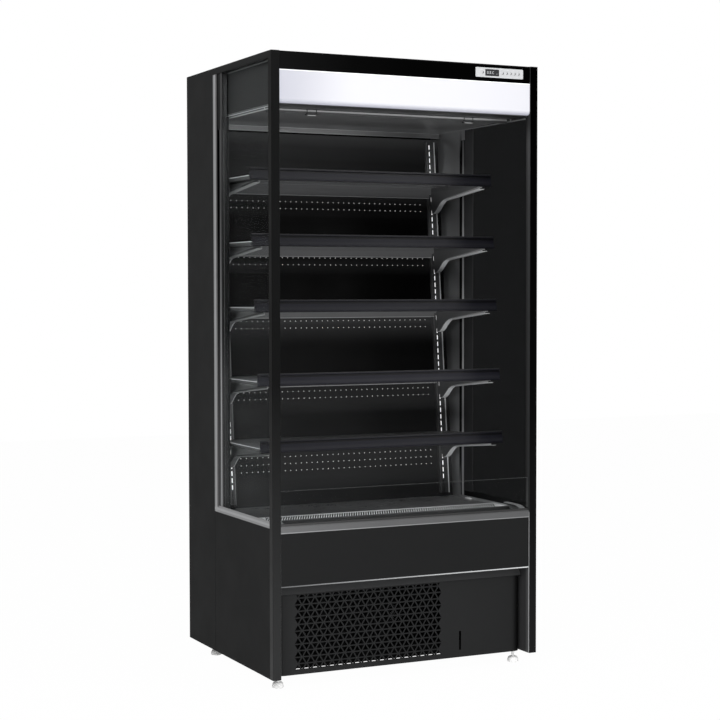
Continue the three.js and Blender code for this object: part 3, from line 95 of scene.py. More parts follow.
# front riser plate, controller and blind
RISER_HALF, RISER_FRONT, RISER_BACK = 0.4590, -0.3754, -0.3706
RISER_FOOT, RISER_TOP, EDGE_WIDTH = 0.5420, 0.6440, 0.0006
KEY_XS = [0.2746, 0.3520, 0.3674, 0.3828, 0.3982, 0.4136]
CONTROLLER_Z = 2.011
CLOTH_HALF, CLOTH_Y, CLOTH_LOW, CLOTH_HIGH = 0.430, -0.2450, 1.8863, 1.9300


# ---------- camera ----------
CAMERA_PLACE = (-2.568486, -5.315049, 1.280647)
YAW, PITCH, ROLL = 0.4508847, 0.0405478, -0.0014396
LENS, SENSOR_WIDTH, FAR_CLIP = 84.58, 36, 50


def place_camera():
    """The photograph's camera, fitted to the edges of the cabinet."""
    forward = Vector((
        sin(YAW) * cos(PITCH), cos(YAW) * cos(PITCH), -sin(PITCH),
    ))
    right = Vector((cos(YAW), -sin(YAW), 0))
    up = right.cross(forward)
    turned_right = cos(ROLL) * right + sin(ROLL) * up
    turned_up = cos(ROLL) * up - sin(ROLL) * right
    camera = placed("camera", bpy.data.cameras.new("camera"))
    camera.data.sensor_width = SENSOR_WIDTH
    camera.data.lens = LENS
    camera.data.clip_end = FAR_CLIP
    axes = Matrix((turned_right, turned_up, -forward)).transposed()
    camera.matrix_world = Matrix.Translation(CAMERA_PLACE) @ axes.to_4x4()
    bpy.context.scene.camera = camera


# ---------- materials ----------
class Finish:
    """A Principled material with its detail laid on in metres, on the object's own coordinates.

    x, y and z are these coordinates, and out is the distance from the middle plane.
    """

    def __init__(self, name, colour, roughness=0.5, metallic=0.0, **sockets):
        self.material = bpy.data.materials.new(name)
        self.material.use_nodes = True
        self.tree = self.material.node_tree
        self.shader = self.tree.nodes["Principled BSDF"]
        self.place = self.node("ShaderNodeTexCoord").outputs["Object"]
        self.colour, self.base, self.normal = None, colour, None
        self.fill(self.shader, Base_Color=(*colour, 1), Roughness=roughness, Metallic=metallic, **sockets)
        self.material.diffuse_color = (*colour, 1)
        self.x, self.y, self.z = self.node("ShaderNodeSeparateXYZ", self.place).outputs
        self.out = self.calc("ABSOLUTE", self.x)

    def node(self, kind, *inputs, **settings):
        made = self.tree.nodes.new(kind)
        for key, value in settings.items():
            setattr(made, key, value)
        for i, value in enumerate(inputs):
            self.feed(made.inputs[i], value)
        return made

    def feed(self, socket, value):
        if isinstance(value, bpy.types.NodeSocket):
            self.tree.links.new(value, socket)
        elif value is not None:
            socket.default_value = value

    def fill(self, node, **sockets):
        """Sets or links sockets by name, with _ for each space."""
        for key, value in sockets.items():
            self.feed(node.inputs[key.replace("_", " ")], value)

    def calc(self, operation, *inputs):
        return self.node("ShaderNodeMath", *inputs, operation=operation).outputs[0]

    def both(self, mask, *others):
        """The product of masks."""
        for other in others:
            mask = self.calc("MULTIPLY", mask, other)
        return mask

    def noise(self, scale, detail=3.0, rough=0.5, stretch=(1, 1, 1)):
        scaled = self.node("ShaderNodeVectorMath", self.place, stretch, operation="MULTIPLY")
        made = self.node("ShaderNodeTexNoise")
        self.fill(made, Vector=scaled.outputs[0], Scale=scale, Detail=detail, Roughness=rough)
        return made.outputs[0]

    def ramp(self, value, low, high, to_low=0.0, to_high=1.0, smooth=True):
        """Carries low to high over to to_low to to_high, and keeps to the ends beyond them."""
        made = self.node("ShaderNodeMapRange", value, low, high, to_low, to_high)
        made.interpolation_type = "SMOOTHSTEP" if smooth else "LINEAR"
        return made.outputs[0]

    def below(self, value, low, high):
        """1 up to low and 0 from high on."""
        return self.ramp(value, low, high, 1.0, 0.0)

    def within(self, value, low, high, soft=0.0005):
        """1 from low to high and 0 outside, with soft flanks."""
        rise = self.ramp(value, low - soft, low + soft)
        return self.both(rise, self.below(value, high - soft, high + soft))

    def left(self):
        """1 on the left half."""
        return self.below(self.x, -0.01, 0.0)

    def right(self):
        """1 on the right half."""
        return self.ramp(self.x, 0.0, 0.01)

    def levels(self, value, stops):
        """A line through (value, level) stops, 32 at most."""
        low, high = stops[0][0], stops[-1][0]
        made = self.node("ShaderNodeValToRGB", self.ramp(value, low, high, smooth=False))
        elements = made.color_ramp.elements
        while len(elements) < len(stops):
            elements.new(0.5)
        for element, (place, _) in zip(elements, stops):
            element.position = (place - low) / (high - low)
        for element, (_, level) in zip(elements, stops):
            element.color = (level, level, level, 1)
        return made.outputs[0]

    def tint(self, colour, factor):
        """A colour socket: the colour times the factor."""
        scale = self.node("ShaderNodeVectorMath", colour, operation="SCALE")
        self.fill(scale, Scale=factor)
        return scale.outputs[0]

    def shaded(self, colour, mask, dark, light):
        """A colour socket: the colour times dark where the mask is 0 and light where it is 1."""
        return self.tint(colour, self.ramp(mask, 0.0, 1.0, dark, light, smooth=False))

    def scaled(self, factor):
        """Multiplies all the colour laid on so far."""
        self.colour = self.tint(self.colour or self.base, factor)

    def shade(self, mask, dark, light):
        """Multiplies the colour by dark where the mask is 0 and by light where it is 1."""
        self.scaled(self.ramp(mask, 0.0, 1.0, dark, light, smooth=False))

    def paint(self, mask, colour):
        """Lays a colour over the last one where the mask is 1."""
        mix = self.node("ShaderNodeMix", data_type="RGBA")
        self.fill(mix, Factor=mask)
        self.feed(mix.inputs[6], self.colour or (*self.base, 1))
        self.feed(mix.inputs[7], colour if isinstance(colour, bpy.types.NodeSocket) else (*colour, 1))
        self.colour = mix.outputs[2]

    def rough(self, mask, low, high):
        self.fill(self.shader, Roughness=self.ramp(mask, 0.25, 0.75, low, high))

    def bump(self, height, distance, strength):
        made = self.node("ShaderNodeBump")
        self.fill(made, Strength=strength, Distance=distance, Height=height, Normal=self.normal)
        self.normal = made.outputs[0]

    def done(self):
        self.fill(self.shader, Base_Color=self.colour, Normal=self.normal)
        return self.material


def powder_coat(name, colour, roughness=0.42, specular=0.03):
    """Sprayed and baked paint: a fine orange peel, faint clouding and a slight polish in places."""
    f = Finish(name, colour, roughness, Specular_IOR_Level=specular)
    f.shade(f.noise(1.6, 2, 0.5), 0.98, 1.02)
    f.rough(f.noise(9, 4, 0.6), roughness - 0.05, roughness + 0.06)
    f.bump(f.noise(620, 2, 0.6), 0.00012, 0.55)
    return f


def brushed(name, colour, roughness=0.3, along=0, metallic=1.0):
    """Sheet metal with a grain along one axis, smudges and fine scratches."""
    f = Finish(name, colour, roughness, metallic)
    stretch = [1.0, 1.0, 1.0]
    stretch[along] = 0.012
    grain = f.noise(1900, 3, 0.7, stretch)
    smudge = f.noise(14, 4, 0.6)
    f.shade(grain, 0.84, 1.12)
    f.shade(smudge, 0.9, 1.06)
    f.rough(f.calc("ADD", f.both(grain, 0.5), f.both(smudge, 0.5)), roughness - 0.07, roughness + 0.1)
    f.bump(grain, 0.00005, 0.5)
    return f


def moulded(name, colour, roughness=0.4, specular=0.5):
    """Moulded or extruded plastic: a faint sink and a fine eggshell grain."""
    f = Finish(name, colour, roughness, Specular_IOR_Level=specular)
    f.shade(f.noise(6, 2, 0.5), 0.95, 1.04)
    f.rough(f.noise(30, 4, 0.6), roughness - 0.06, roughness + 0.07)
    f.bump(f.noise(1500, 2, 0.5), 0.00004, 0.5)
    f.bump(f.noise(18, 2, 0.4), 0.0004, 0.12)
    return f


def glowing(name, colour, strength):
    """Plastic that glows: lit from behind in the lamp lens and display figures, painted light in the
    air-hole eyes and slot strips.
    """
    f = moulded(name, colour)
    f.fill(f.shader, Emission_Color=(*colour, 1), Emission_Strength=strength)
    return f.done()


def galvanised():
    """Zinc coat with its spangle."""
    f = Finish("galvanised", (0.34, 0.35, 0.355), 0.42, 0.9)
    spangle = f.node("ShaderNodeTexVoronoi", f.place)
    f.fill(spangle, Scale=95)
    f.shade(spangle.outputs["Distance"], 0.78, 1.2)
    f.rough(spangle.outputs["Distance"], 0.3, 0.55)
    f.bump(f.noise(420), 0.00008, 0.4)
    return f.done()


def glass(name, tint, ior):
    """Thin pane: what is behind shows through the tint, and the rest is mirrored."""
    f = Finish(name, tint)
    f.bump(f.noise(2.5, 2, 0.4), 0.0002, 0.02)
    smear = f.ramp(f.noise(9, 3, 0.6), 0.25, 0.75, 0.02, 0.05)
    through, mirror = f.node("ShaderNodeBsdfTransparent"), f.node("ShaderNodeBsdfGlossy")
    f.fill(through, Color=(*tint, 1))
    f.fill(mirror, Color=(1, 1, 1, 1), Roughness=smear, Normal=f.normal)
    fresnel = f.node("ShaderNodeFresnel")
    f.fill(fresnel, IOR=ior)
    mix = f.node("ShaderNodeMixShader", fresnel.outputs[0], through.outputs[0], mirror.outputs[0])
    f.fill(f.tree.nodes["Material Output"], Surface=mix.outputs[0])
    f.tree.nodes.remove(f.shader)
    return f.material


# ---------- objects and meshes ----------
def placed(name, data):
    """A new object in the scene."""
    made = bpy.data.objects.new(name, data)
    bpy.context.scene.collection.objects.link(made)
    return made


def piece(name, vertices, faces, material, body, slot, smooth=False):
    """A mesh object that rides on a body, or stands alone without one."""
    mesh = bpy.data.meshes.new(name)
    mesh.from_pydata([tuple(v) for v in vertices], [], faces)
    mesh.validate()
    mesh.update()
    if smooth:
        mesh.shade_smooth()
    made = placed(name, mesh)
    mesh.materials.append(material)
    if body:
        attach(made, body)
    return made


def gathered(parts):
    """Several (vertices, faces) in one."""
    vertices, faces = [], []
    for more, others in parts:
        start = len(vertices)
        vertices += more
        faces += [[start + i for i in face] for face in others]
    return vertices, faces


def tube(count, rings, closed=True, flip=False):
    """Faces that join rings of count vertices each, with their ends closed or left open."""
    faces = []
    for start in range(0, (rings - 1) * count, count):
        for k in range(count):
            n = (k + 1) % count
            faces.append([start + k, start + n, start + count + n, start + count + k])
    if closed:
        faces += [list(range(count))[::-1], [(rings - 1) * count + k for k in range(count)]]
    return [face[::-1] for face in faces] if flip else faces


def turned(profile, segments, centre):
    """A profile of (radius, height) turned about an upright axis through the centre."""
    vertices = []
    for radius, height in profile:
        for i in range(segments):
            angle = 2 * pi * i / segments
            offset = (radius * cos(angle), radius * sin(angle), height)
            vertices.append(Vector(centre) + Vector(offset))
    return vertices, tube(segments, len(profile))


def slab(x0, x1, y0, y1, z0, z1, round_by=0.0):
    """A block whose upper and lower edges along Y are rounded by the given radius."""
    outline = [(x1, z1), (x0, z1), (x0, z0), (x1, z0)]
    if round_by:
        sharp, outline = outline, []
        inward = [(-1, -1), (1, -1), (1, 1), (-1, 1)]
        for quarter, ((x, z), (to_x, to_z)) in enumerate(zip(sharp, inward)):
            for k in range(4):
                angle = radians(90 * quarter + 30 * k)
                outline.append((x + round_by * (to_x + cos(angle)),
                                z + round_by * (to_z + sin(angle))))
    return [(x, y, z) for y in (y0, y1) for x, z in outline], tube(len(outline), 2)


def swept(section, path):
    """A closed section of (x, z) offsets carried along a path of (x, y, z) points."""
    vertices = [(px + dx, py, pz + dz) for px, py, pz in path for dx, dz in section]
    return vertices, tube(len(section), len(path), flip=True)


# ---------- finishes of the CAD nodes ----------
BLACK = (0.0165, 0.0168, 0.0170)
DEEP_BLACK = (0.0016, 0.0016, 0.0018)
# painted shade that stands for the dark inside holes and slots
HOLE_SHADE = (0.0012, 0.0012, 0.0013)
# a strong painted highlight
STRONG_HIGHLIGHT = (0.85, 0.86, 0.87)
# pale grey: the own colour of the grille steel and display figures, and a painted highlight on the front
# panel hem and the canopy cover edge
PALE_AND_HIGHLIGHT = (0.60, 0.61, 0.62)
# a dim painted highlight on edges
DIM_HIGHLIGHT = (0.34, 0.345, 0.35)


def shade_painted_black(name, axis, stops):
    """Black paint with painted light and shade: its colour and gloss follow (place, level) stops along an
    axis.
    """
    f = powder_coat(name, BLACK, 0.38)
    shade_level = f.levels(getattr(f, axis), stops)
    f.scaled(shade_level)
    f.fill(f.shader, Specular_IOR_Level=f.both(shade_level, 0.05))
    return f


def post_finish(hand, stops):
    """Black paint of a post in painted light and shade, with a paler inner return that is painted lighter
    still low down, a painted highlight on its inner front edge low down and another along its top.
    """
    f = shade_painted_black(f"post_{hand}", "z", stops)
    side = f.below(f.out, INNER + 0.0003, INNER + 0.0007)
    # painted light: the inner return is paler, and paler still below the recess top
    f.paint(side, (0.015, 0.0152, 0.0154))
    f.paint(f.both(side, f.below(f.z, RECESS_TOP, RECESS_TOP + 0.001)), (0.036, 0.0363, 0.037))
    low = f.below(f.z, RECESS_TOP - 0.001, RECESS_TOP + 0.001)
    f.paint(f.both(side, f.below(f.y, -0.3740, -0.3600)), f.shaded((0.028, 0.0283, 0.029), low, 1.0, 2.6))
    # painted highlight on the inner front edge low down
    f.paint(f.both(side, f.below(f.y, -0.3800, -0.3792), f.below(f.z, 0.524, 0.528)), DIM_HIGHLIGHT)
    # painted highlight along the top
    f.paint(f.ramp(f.z, 2.0388, 2.0392), (0.20, 0.202, 0.205))
    return f.done()


def side_panel_finish():
    """Black outside; inside the cabinet the same wall is lined in satin steel."""
    f = powder_coat("side_panel", BLACK, 0.40, 0.006)
    inside = f.both(f.within(f.out, -1.0, INNER + 0.0006, 0.0002),
                    f.ramp(f.z, RECESS_TOP, RECESS_TOP + 0.001))
    grain = f.noise(1500, 3, 0.7, (1, 1, 0.01))
    f.paint(inside, f.shaded((0.30, 0.304, 0.31), grain, 0.86, 1.12))
    # painted light and shade on the steel lining along its height: lighter low down and at the top,
    # darkest from 1.1 to 1.24 m
    height = f.levels(f.z, [(0.34, 1.35), (0.78, 1.35), (0.95, 0.90), (1.10, 0.62), (1.24, 0.60),
                          (1.27, 0.95), (1.50, 0.90), (1.70, 1.05), (1.86, 1.15)])
    f.scaled(f.calc("ADD", f.both(inside, height), f.below(inside, 0.0, 1.0)))
    f.fill(f.shader, Metallic=f.both(inside, 0.6))
    reveal = f.both(inside, f.within(f.y, 0.0900, 0.1050, 0.0006), f.within(f.z, 0.60, WINDOW_TOP, 0.06))
    f.paint(reveal, DEEP_BLACK)
    # painted light: the window sill is painted paler
    sill = f.both(f.within(f.out, INNER + 0.0008, 0.4868, 0.0002), f.within(f.z, 0.5200, SILL_TOP, 0.0004))
    f.paint(sill, (0.13, 0.131, 0.134))
    # painted light: the inner face below the recess top is painted paler
    wall = f.below(f.out, INNER + 0.0004, INNER + 0.0008)
    f.paint(f.both(wall, f.below(f.z, RECESS_TOP, RECESS_TOP + 0.001)), (0.034, 0.0343, 0.035))
    return f.done()


def price_strip_finish(number, top):
    """Extruded label rail: grey top lip, blue-black face, paler lower band, dark foot.

    Rails near the lamp are darker, so that all five look alike.
    """
    shade_level = STRIP_TONES[number - 1]

    def toned(*colour):
        return tuple(value * shade_level for value in colour)

    f = moulded(f"price_strip_{number}", toned(0.0105, 0.0106, 0.0150), 0.36, 0.1)
    f.paint(f.within(f.z, top + 0.0120, top + 0.0200, 0.0015), toned(0.0050, 0.0050, 0.0062))
    f.paint(f.ramp(f.z, top + 0.0225, top + 0.0235), toned(0.020, 0.020, 0.021))
    f.paint(f.within(f.z, top - 0.0085, top + 0.0010, 0.0030), toned(0.0160, 0.0162, 0.0200))
    f.paint(f.below(f.z, top - 0.0140, top - 0.0125), toned(0.0050, 0.0050, 0.0060))
    return f.done()


def shelf_finish(number, top, front):
    """Grey coated pan: painted light on the bracket plates, most on the left; painted highlights on the
    right flanges, the rear lower edge and the top of the darker side folds.
    """
    f = powder_coat(f"shelf_{number}", (0.150, 0.152, 0.156), 0.34, 0.1)
    below_pan = f.below(f.z, top - 0.0170, top - 0.0160)
    plate = f.both(f.within(f.out, 0.4150, 0.4390, 0.0002), below_pan)
    flange = f.both(f.within(f.out, BRACKET_X + 0.0002, 0.4390, 0.0002), below_pan)
    # painted light: the left bracket plates are painted lighter against their shade
    f.paint(plate, f.shaded((0.17, 0.172, 0.176), f.calc("MAXIMUM", f.right(), flange), 3.4, 1.0))
    # strong painted highlight on the right bracket flanges
    f.paint(f.both(flange, f.right()), STRONG_HIGHLIGHT)
    # painted highlight along the rear lower edge
    rear_edge = f.both(f.below(f.z, top - 0.0240, top - 0.0232), f.ramp(f.y, front + 0.350, front + 0.352))
    f.paint(f.both(rear_edge, f.below(f.out, 0.4140, 0.4150)), (0.22, 0.223, 0.228))
    # painted shade on the side fold, and a painted highlight along its top
    side = f.ramp(f.out, 0.4550, 0.4554)
    f.paint(side, (0.050, 0.0505, 0.052))
    f.paint(f.both(side, f.ramp(f.z, top - 0.0022, top - 0.0016)), (0.75, 0.76, 0.77))
    return f.done()


def upright_finish():
    """Slotted steel channel, dark coated, with painted highlights along its corners."""
    f = brushed("upright_steel", (0.075, 0.076, 0.078), 0.36, 2, 0.3)
    # painted highlights along both corners
    f.paint(f.below(f.out, 0.4066, 0.4070), (0.20, 0.202, 0.205))
    f.paint(f.ramp(f.out, 0.4352, 0.4358), STRONG_HIGHLIGHT)
    return f.done()


def rear_panel_finish():
    """Dark satin paint in bands of painted light and shade: lighter by the lamp, near the deck and under
    each shelf, darkest behind the middle shelves.
    """
    f = powder_coat("rear_panel", (0.1, 0.101, 0.103), 0.38, 0.04)
    f.scaled(f.levels(f.z, [
        (0.52, 0.42), (0.60, 0.50), (0.64, 0.40), (0.69, 0.46), (0.765, 0.36), (0.80, 0.39),
        (0.83, 0.51), (0.857, 0.52), (0.90, 0.35), (0.94, 0.33), (0.99, 0.10), (1.06, 0.13),
        (1.10, 0.21), (1.135, 0.34), (1.16, 0.42), (1.172, 0.60), (1.23, 0.02), (1.325, 0.036),
        (1.34, 0.076), (1.351, 0.24), (1.365, 0.37), (1.395, 0.18), (1.45, 0.015), (1.525, 0.025),
        (1.545, 0.06), (1.56, 0.18), (1.59, 0.26), (1.615, 0.60), (1.68, 0.12), (1.747, 0.17),
        (1.80, 0.40), (1.846, 1.10),
    ]))
    return f.done()


def lit_white():
    """Opal acrylic, lit from behind, a little brighter in the middle, with a painted highlight along its
    top edge.
    """
    f = Finish("lit_white", (0.34, 0.34, 0.36), 0.38, Specular_IOR_Level=0.1)
    ends = f.calc("MINIMUM", f.ramp(f.x, -0.47, -0.18), f.ramp(f.x, 1.0, 0.10, 0.52, 1.0))
    glow = f.node("ShaderNodeMix", data_type="RGBA")
    f.fill(glow, Factor=f.both(ends, f.ramp(f.z, 1.878, 1.892)))
    f.feed(glow.inputs[6], (0.34, 0.355, 0.46, 1))
    f.feed(glow.inputs[7], (0.94, 0.94, 0.985, 1))
    f.fill(f.shader, Emission_Color=glow.outputs[2], Emission_Strength=0.46)
    # painted highlight along the top edge
    f.paint(f.ramp(f.z, 1.9788, 1.9796), (0.75, 0.75, 0.76))
    f.shade(f.noise(2, 2, 0.5), 0.98, 1.01)
    f.rough(f.noise(40, 3, 0.5), 0.32, 0.44)
    f.bump(f.noise(900, 2, 0.5), 0.00004, 0.4)
    return f.done()


def front_panel_finish():
    """Black paint with a painted highlight along the lower edge, brighter to the right."""
    f = powder_coat("front_panel", (0.0108, 0.0110, 0.0112), 0.40)
    across = f.levels(f.x, [(-0.47, 0.16), (-0.10, 0.42), (0.47, 0.85)])
    # painted highlight along the hem, brighter to the right
    f.paint(f.below(f.z, 0.3384, 0.3390), f.tint(PALE_AND_HIGHLIGHT, across))
    return f.done()


def hole_shadows(f):
    """A mask of the painted shadow round the kick panel's holes: triangles that point up and down in turn.
    """
    level = f.calc("DIVIDE", f.calc("SUBTRACT", f.z, HOLE_LOWEST - HOLE_STEP_Z / 2), HOLE_STEP_Z)
    row = f.calc("FLOOR", level)
    share = f.calc("SUBTRACT", level, row)
    foot, tip = 0.5 - SHADOW_SHARE / 2, 0.5 + SHADOW_SHARE / 2
    tall = f.ramp(share, foot, tip, smooth=False)
    turned_over = f.calc("ABSOLUTE", f.calc("SUBTRACT", f.calc("MODULO", row, 2.0), tall))
    divide = f.calc("ADD", f.both(turned_over, -SHADOW_HALF), (SHADOW_HALF + HOLE_STEP_X) / 2)
    web = (HOLE_STEP_X - SHADOW_HALF) / 2
    from_first = f.calc("SUBTRACT", f.x, HOLE_FIRST)
    from_last = f.calc("SUBTRACT", f.x, HOLE_FIRST + (HOLE_COLUMNS - 1) * HOLE_STEP_X)
    folded = f.calc("PINGPONG", from_first, HOLE_STEP_X)

    def clear_of_web(distance):
        return f.ramp(distance, web, web + 0.0006)

    return f.both(
        clear_of_web(f.calc("ABSOLUTE", f.calc("SUBTRACT", folded, divide))),
        f.within(share, foot, tip, 0.015),
        clear_of_web(f.calc("ADD", from_first, divide)),
        clear_of_web(f.calc("SUBTRACT", divide, from_last)),
        f.within(f.z, HOLE_LOWEST - HOLE_STEP_Z / 2, HOLE_END),
    )


def kick_finish():
    """Black like the body, in painted shade that darkens towards the right end; every hole sits in a
    painted shadow, and painted light lies on the top fold.
    """
    f = powder_coat("kick_black", (0.0200, 0.0204, 0.0208), 0.42)
    # painted shade across the panel, darkest at the right end
    f.scaled(f.levels(f.x, [(-0.47, 0.80), (-0.40, 0.85), (-0.20, 0.80), (0.20, 0.78), (0.42, 0.72),
                          (0.435, 0.25), (0.46, 0.08)]))
    # painted shadow round every hole
    mask = hole_shadows(f)
    f.paint(mask, HOLE_SHADE)
    f.bump(mask, 0.0008, 0.35)
    slot = f.both(f.within(f.x, LATCH_X - LATCH_HALF, LATCH_X + LATCH_HALF, 0.0004),
                  f.within(f.z, LATCH_LOW, LATCH_HIGH, 0.0004))
    f.paint(slot, HOLE_SHADE)
    # painted light on the top fold
    f.paint(f.ramp(f.z, FOLD_LOW, FOLD_HIGH), (0.040, 0.0405, 0.0415))
    return f.done()


def ceiling_finish():
    """Inner sheet of the canopy: painted shade at the ends and front, two dark slots, painted highlights
    along the folded edges and painted light at the rear.
    """
    f = brushed("ceiling_grey", (0.19, 0.192, 0.195), 0.34, 0, 0.35)
    # painted shade at the ends and the front
    f.paint(f.ramp(f.out, INNER - 0.0040, INNER - 0.0035), (0.045, 0.0455, 0.046))
    f.paint(f.below(f.y, -0.2640, -0.2620), (0.034, 0.0345, 0.035))
    f.paint(f.within(f.y, -0.3300, -0.3180, 0.004), (0.012, 0.012, 0.012))
    f.paint(f.within(f.y, -0.2950, -0.2860, 0.004), (0.015, 0.015, 0.015))
    # painted highlights along the folded edges
    f.paint(f.within(f.y, -0.2640, -0.2560, 0.001), (0.40, 0.405, 0.41))
    f.paint(f.within(f.z, 1.8640, 1.8675, 0.0006), DIM_HIGHLIGHT)
    # painted light at the rear
    f.paint(f.both(f.below(f.z, 1.8500, 1.8520), f.ramp(f.y, 0.2, 0.21)), (0.26, 0.263, 0.267))
    return f.done()


def trim_finish():
    """Extruded window trim: dull grey with a painted highlight on its crown and painted shade on its inner
    lip, deeper higher up.
    """
    f = brushed("window_trim", (0.18, 0.182, 0.186), 0.34, 2, 0.5)
    # painted highlight on the crown
    crown = f.calc("MAXIMUM", f.within(f.y, 0.1050, 0.1130, 0.0020), f.within(f.z, 0.5330, 0.5400, 0.0015))
    f.paint(crown, (0.26, 0.264, 0.269))
    # painted shade on the inner lip, deeper higher up
    inner = f.both(f.within(f.y, 0.0860, 0.1045, 0.0006), f.ramp(f.z, 0.5420, 0.5440))
    f.paint(inner, f.shaded((0.034, 0.0345, 0.035), f.ramp(f.z, 0.95, 1.25), 1.0, 0.15))
    return f.done()


def window_highlight(f):
    """Colour of the painted highlight down the left window, where gasket and channel meet, fading upwards.
    """
    return f.tint((0.32, 0.324, 0.33), f.levels(f.z, [
        (0.53, 0.95), (0.91, 1.0), (1.25, 0.52), (1.59, 0.22), (1.83, 0.25),
    ]))


def channel_finish():
    """Glazing channel: dark, with painted light on the left that changes with height, painted highlight
    lines on the left up to the top of the gasket, and painted light on the right inner lip.
    """
    f = brushed("glazing_channel", (0.014, 0.0142, 0.0145), 0.45, 2, 0.0)
    f.fill(f.shader, Specular_IOR_Level=0.01)
    left, right = f.left(), f.right()
    # painted light on the left, along its height
    height = f.levels(f.z, [(0.53, 4.0), (0.95, 3.4), (1.15, 1.2), (1.40, 1.0), (1.59, 1.8), (1.83, 2.8)])
    f.scaled(f.calc("ADD", right, f.both(left, height)))
    f.paint(f.both(left, f.ramp(f.out, 0.4866, 0.4868), f.ramp(f.y, 0.0615, 0.0620)), window_highlight(f))
    # painted light on the right inner lip
    f.paint(f.both(right, f.below(f.out, 0.4640, 0.4650)), (0.036, 0.0364, 0.037))
    # painted highlight lines beside the gasket
    beside_gasket = f.both(left, f.below(f.z, WINDOW_TOP - 0.0005, WINDOW_TOP + 0.0005))
    f.paint(f.both(beside_gasket, f.within(f.out, 0.4826, 0.4852, 0.0002)), (0.80, 0.81, 0.82))
    f.paint(f.both(beside_gasket, f.within(f.out, 0.4740, 0.4760, 0.0004)), (0.10, 0.101, 0.103))
    f.paint(f.both(left, f.ramp(f.z, COVER_FOOT - 0.0005, COVER_FOOT + 0.0005)), (0.055, 0.0555, 0.0565))
    return f.done()


def gasket_finish():
    """Black rubber in painted light: paler low down on the left, fading upwards; on the right a painted
    highlight covers its inner half, and the rest of it is paler low down.
    """
    f = moulded("gasket", DEEP_BLACK, 0.8, 0.0)
    left, right = f.left(), f.right()
    # painted light on the left, paler low down
    low_light = f.levels(f.z, [(0.53, 1.0), (0.75, 0.70), (0.91, 0.45), (1.25, 0.13), (1.50, 0.0)])
    f.paint(f.both(left, low_light), (0.10, 0.101, 0.103))
    f.paint(f.both(left, f.below(f.y, 0.0740, 0.0745)), window_highlight(f))
    # painted highlight on the right, fading upwards
    inner_highlight = f.both(right, f.within(f.y, 0.0722, 0.0868, 0.0004), f.below(f.out, 0.4655, 0.4665))
    f.paint(inner_highlight, f.tint((0.50, 0.504, 0.512), f.levels(f.z, [
        (0.53, 1.0), (1.30, 1.0), (1.65, 0.5), (1.83, 0.22),
    ])))
    # painted light: the rest of the right gasket is paler low down
    f.paint(f.both(right, f.below(f.z, 0.70, 0.98), f.below(inner_highlight, 0.0, 1.0)), (0.06, 0.0605, 0.062))
    return f.done()


def blind_bar_finish():
    """Dark anodised pull bar with painted highlights along its front edges; the handles end in dark plugs.
    """
    f = brushed("blind_bar", (0.060, 0.061, 0.063), 0.34, 0, 0.5)
    # painted highlights along the front edges
    front = f.below(f.y, -0.2520, -0.2510)
    low, waist = f.below(f.z, 1.8600, 1.8605), f.within(f.z, 1.8665, 1.8720, 0.0004)
    f.paint(f.both(front, f.calc("MAXIMUM", low, waist)), DIM_HIGHLIGHT)
    from_handle = f.calc("ABSOLUTE", f.calc("SUBTRACT", f.out, 0.293))
    f.paint(f.within(from_handle, 0.0150, 0.0185, 0.0003), (0.010, 0.010, 0.010))
    return f.done()


def ledge_finish():
    """Folded ledge in painted light and shade: dark in the trough and on the top, satin grey in front,
    darker high up, with a painted highlight along the hem.
    """
    f = brushed("ledge_steel", (0.035, 0.0355, 0.036), 0.36, 0, 0.3)
    # painted shade on the top
    f.paint(f.below(f.y, -0.3510, -0.3500), (0.015, 0.0152, 0.0154))
    # painted light on the front, fading higher up
    low = f.below(f.z, 0.5262, 0.5370)
    f.paint(f.below(f.y, -0.3812, -0.3808), f.shaded((0.067, 0.0678, 0.0695), low, 0.32, 1.0))
    # painted highlight along the hem
    f.paint(f.below(f.z, 0.5106, 0.5112), (0.20, 0.203, 0.206))
    return f.done()


def deck_finish():
    """Satin deck sheet, toned down to the front and the left, where it catches most light."""
    f = brushed("deck_steel", (0.30, 0.303, 0.308), 0.30, 0, 0.4)
    depth = f.levels(f.y, [
        (-0.137, 0.42), (-0.11, 0.45), (-0.08, 0.50), (-0.045, 0.58), (-0.01, 0.66),
        (0.02, 0.78), (0.055, 0.92), (0.09, 1.08), (0.12, 1.25), (0.15, 1.6),
    ])
    across = f.levels(f.x, [(-0.40, 0.86), (-0.03, 1.08), (0.13, 1.30), (0.40, 1.30)])
    f.scaled(f.both(depth, across))
    return f.done()


def dress(names, material):
    """Gives one material to the named CAD nodes."""
    for name in names.split():
        slots = NODES[name].material_slots
        if slots:
            slots[0].material = material
        else:
            NODES[name].data.materials.append(material)


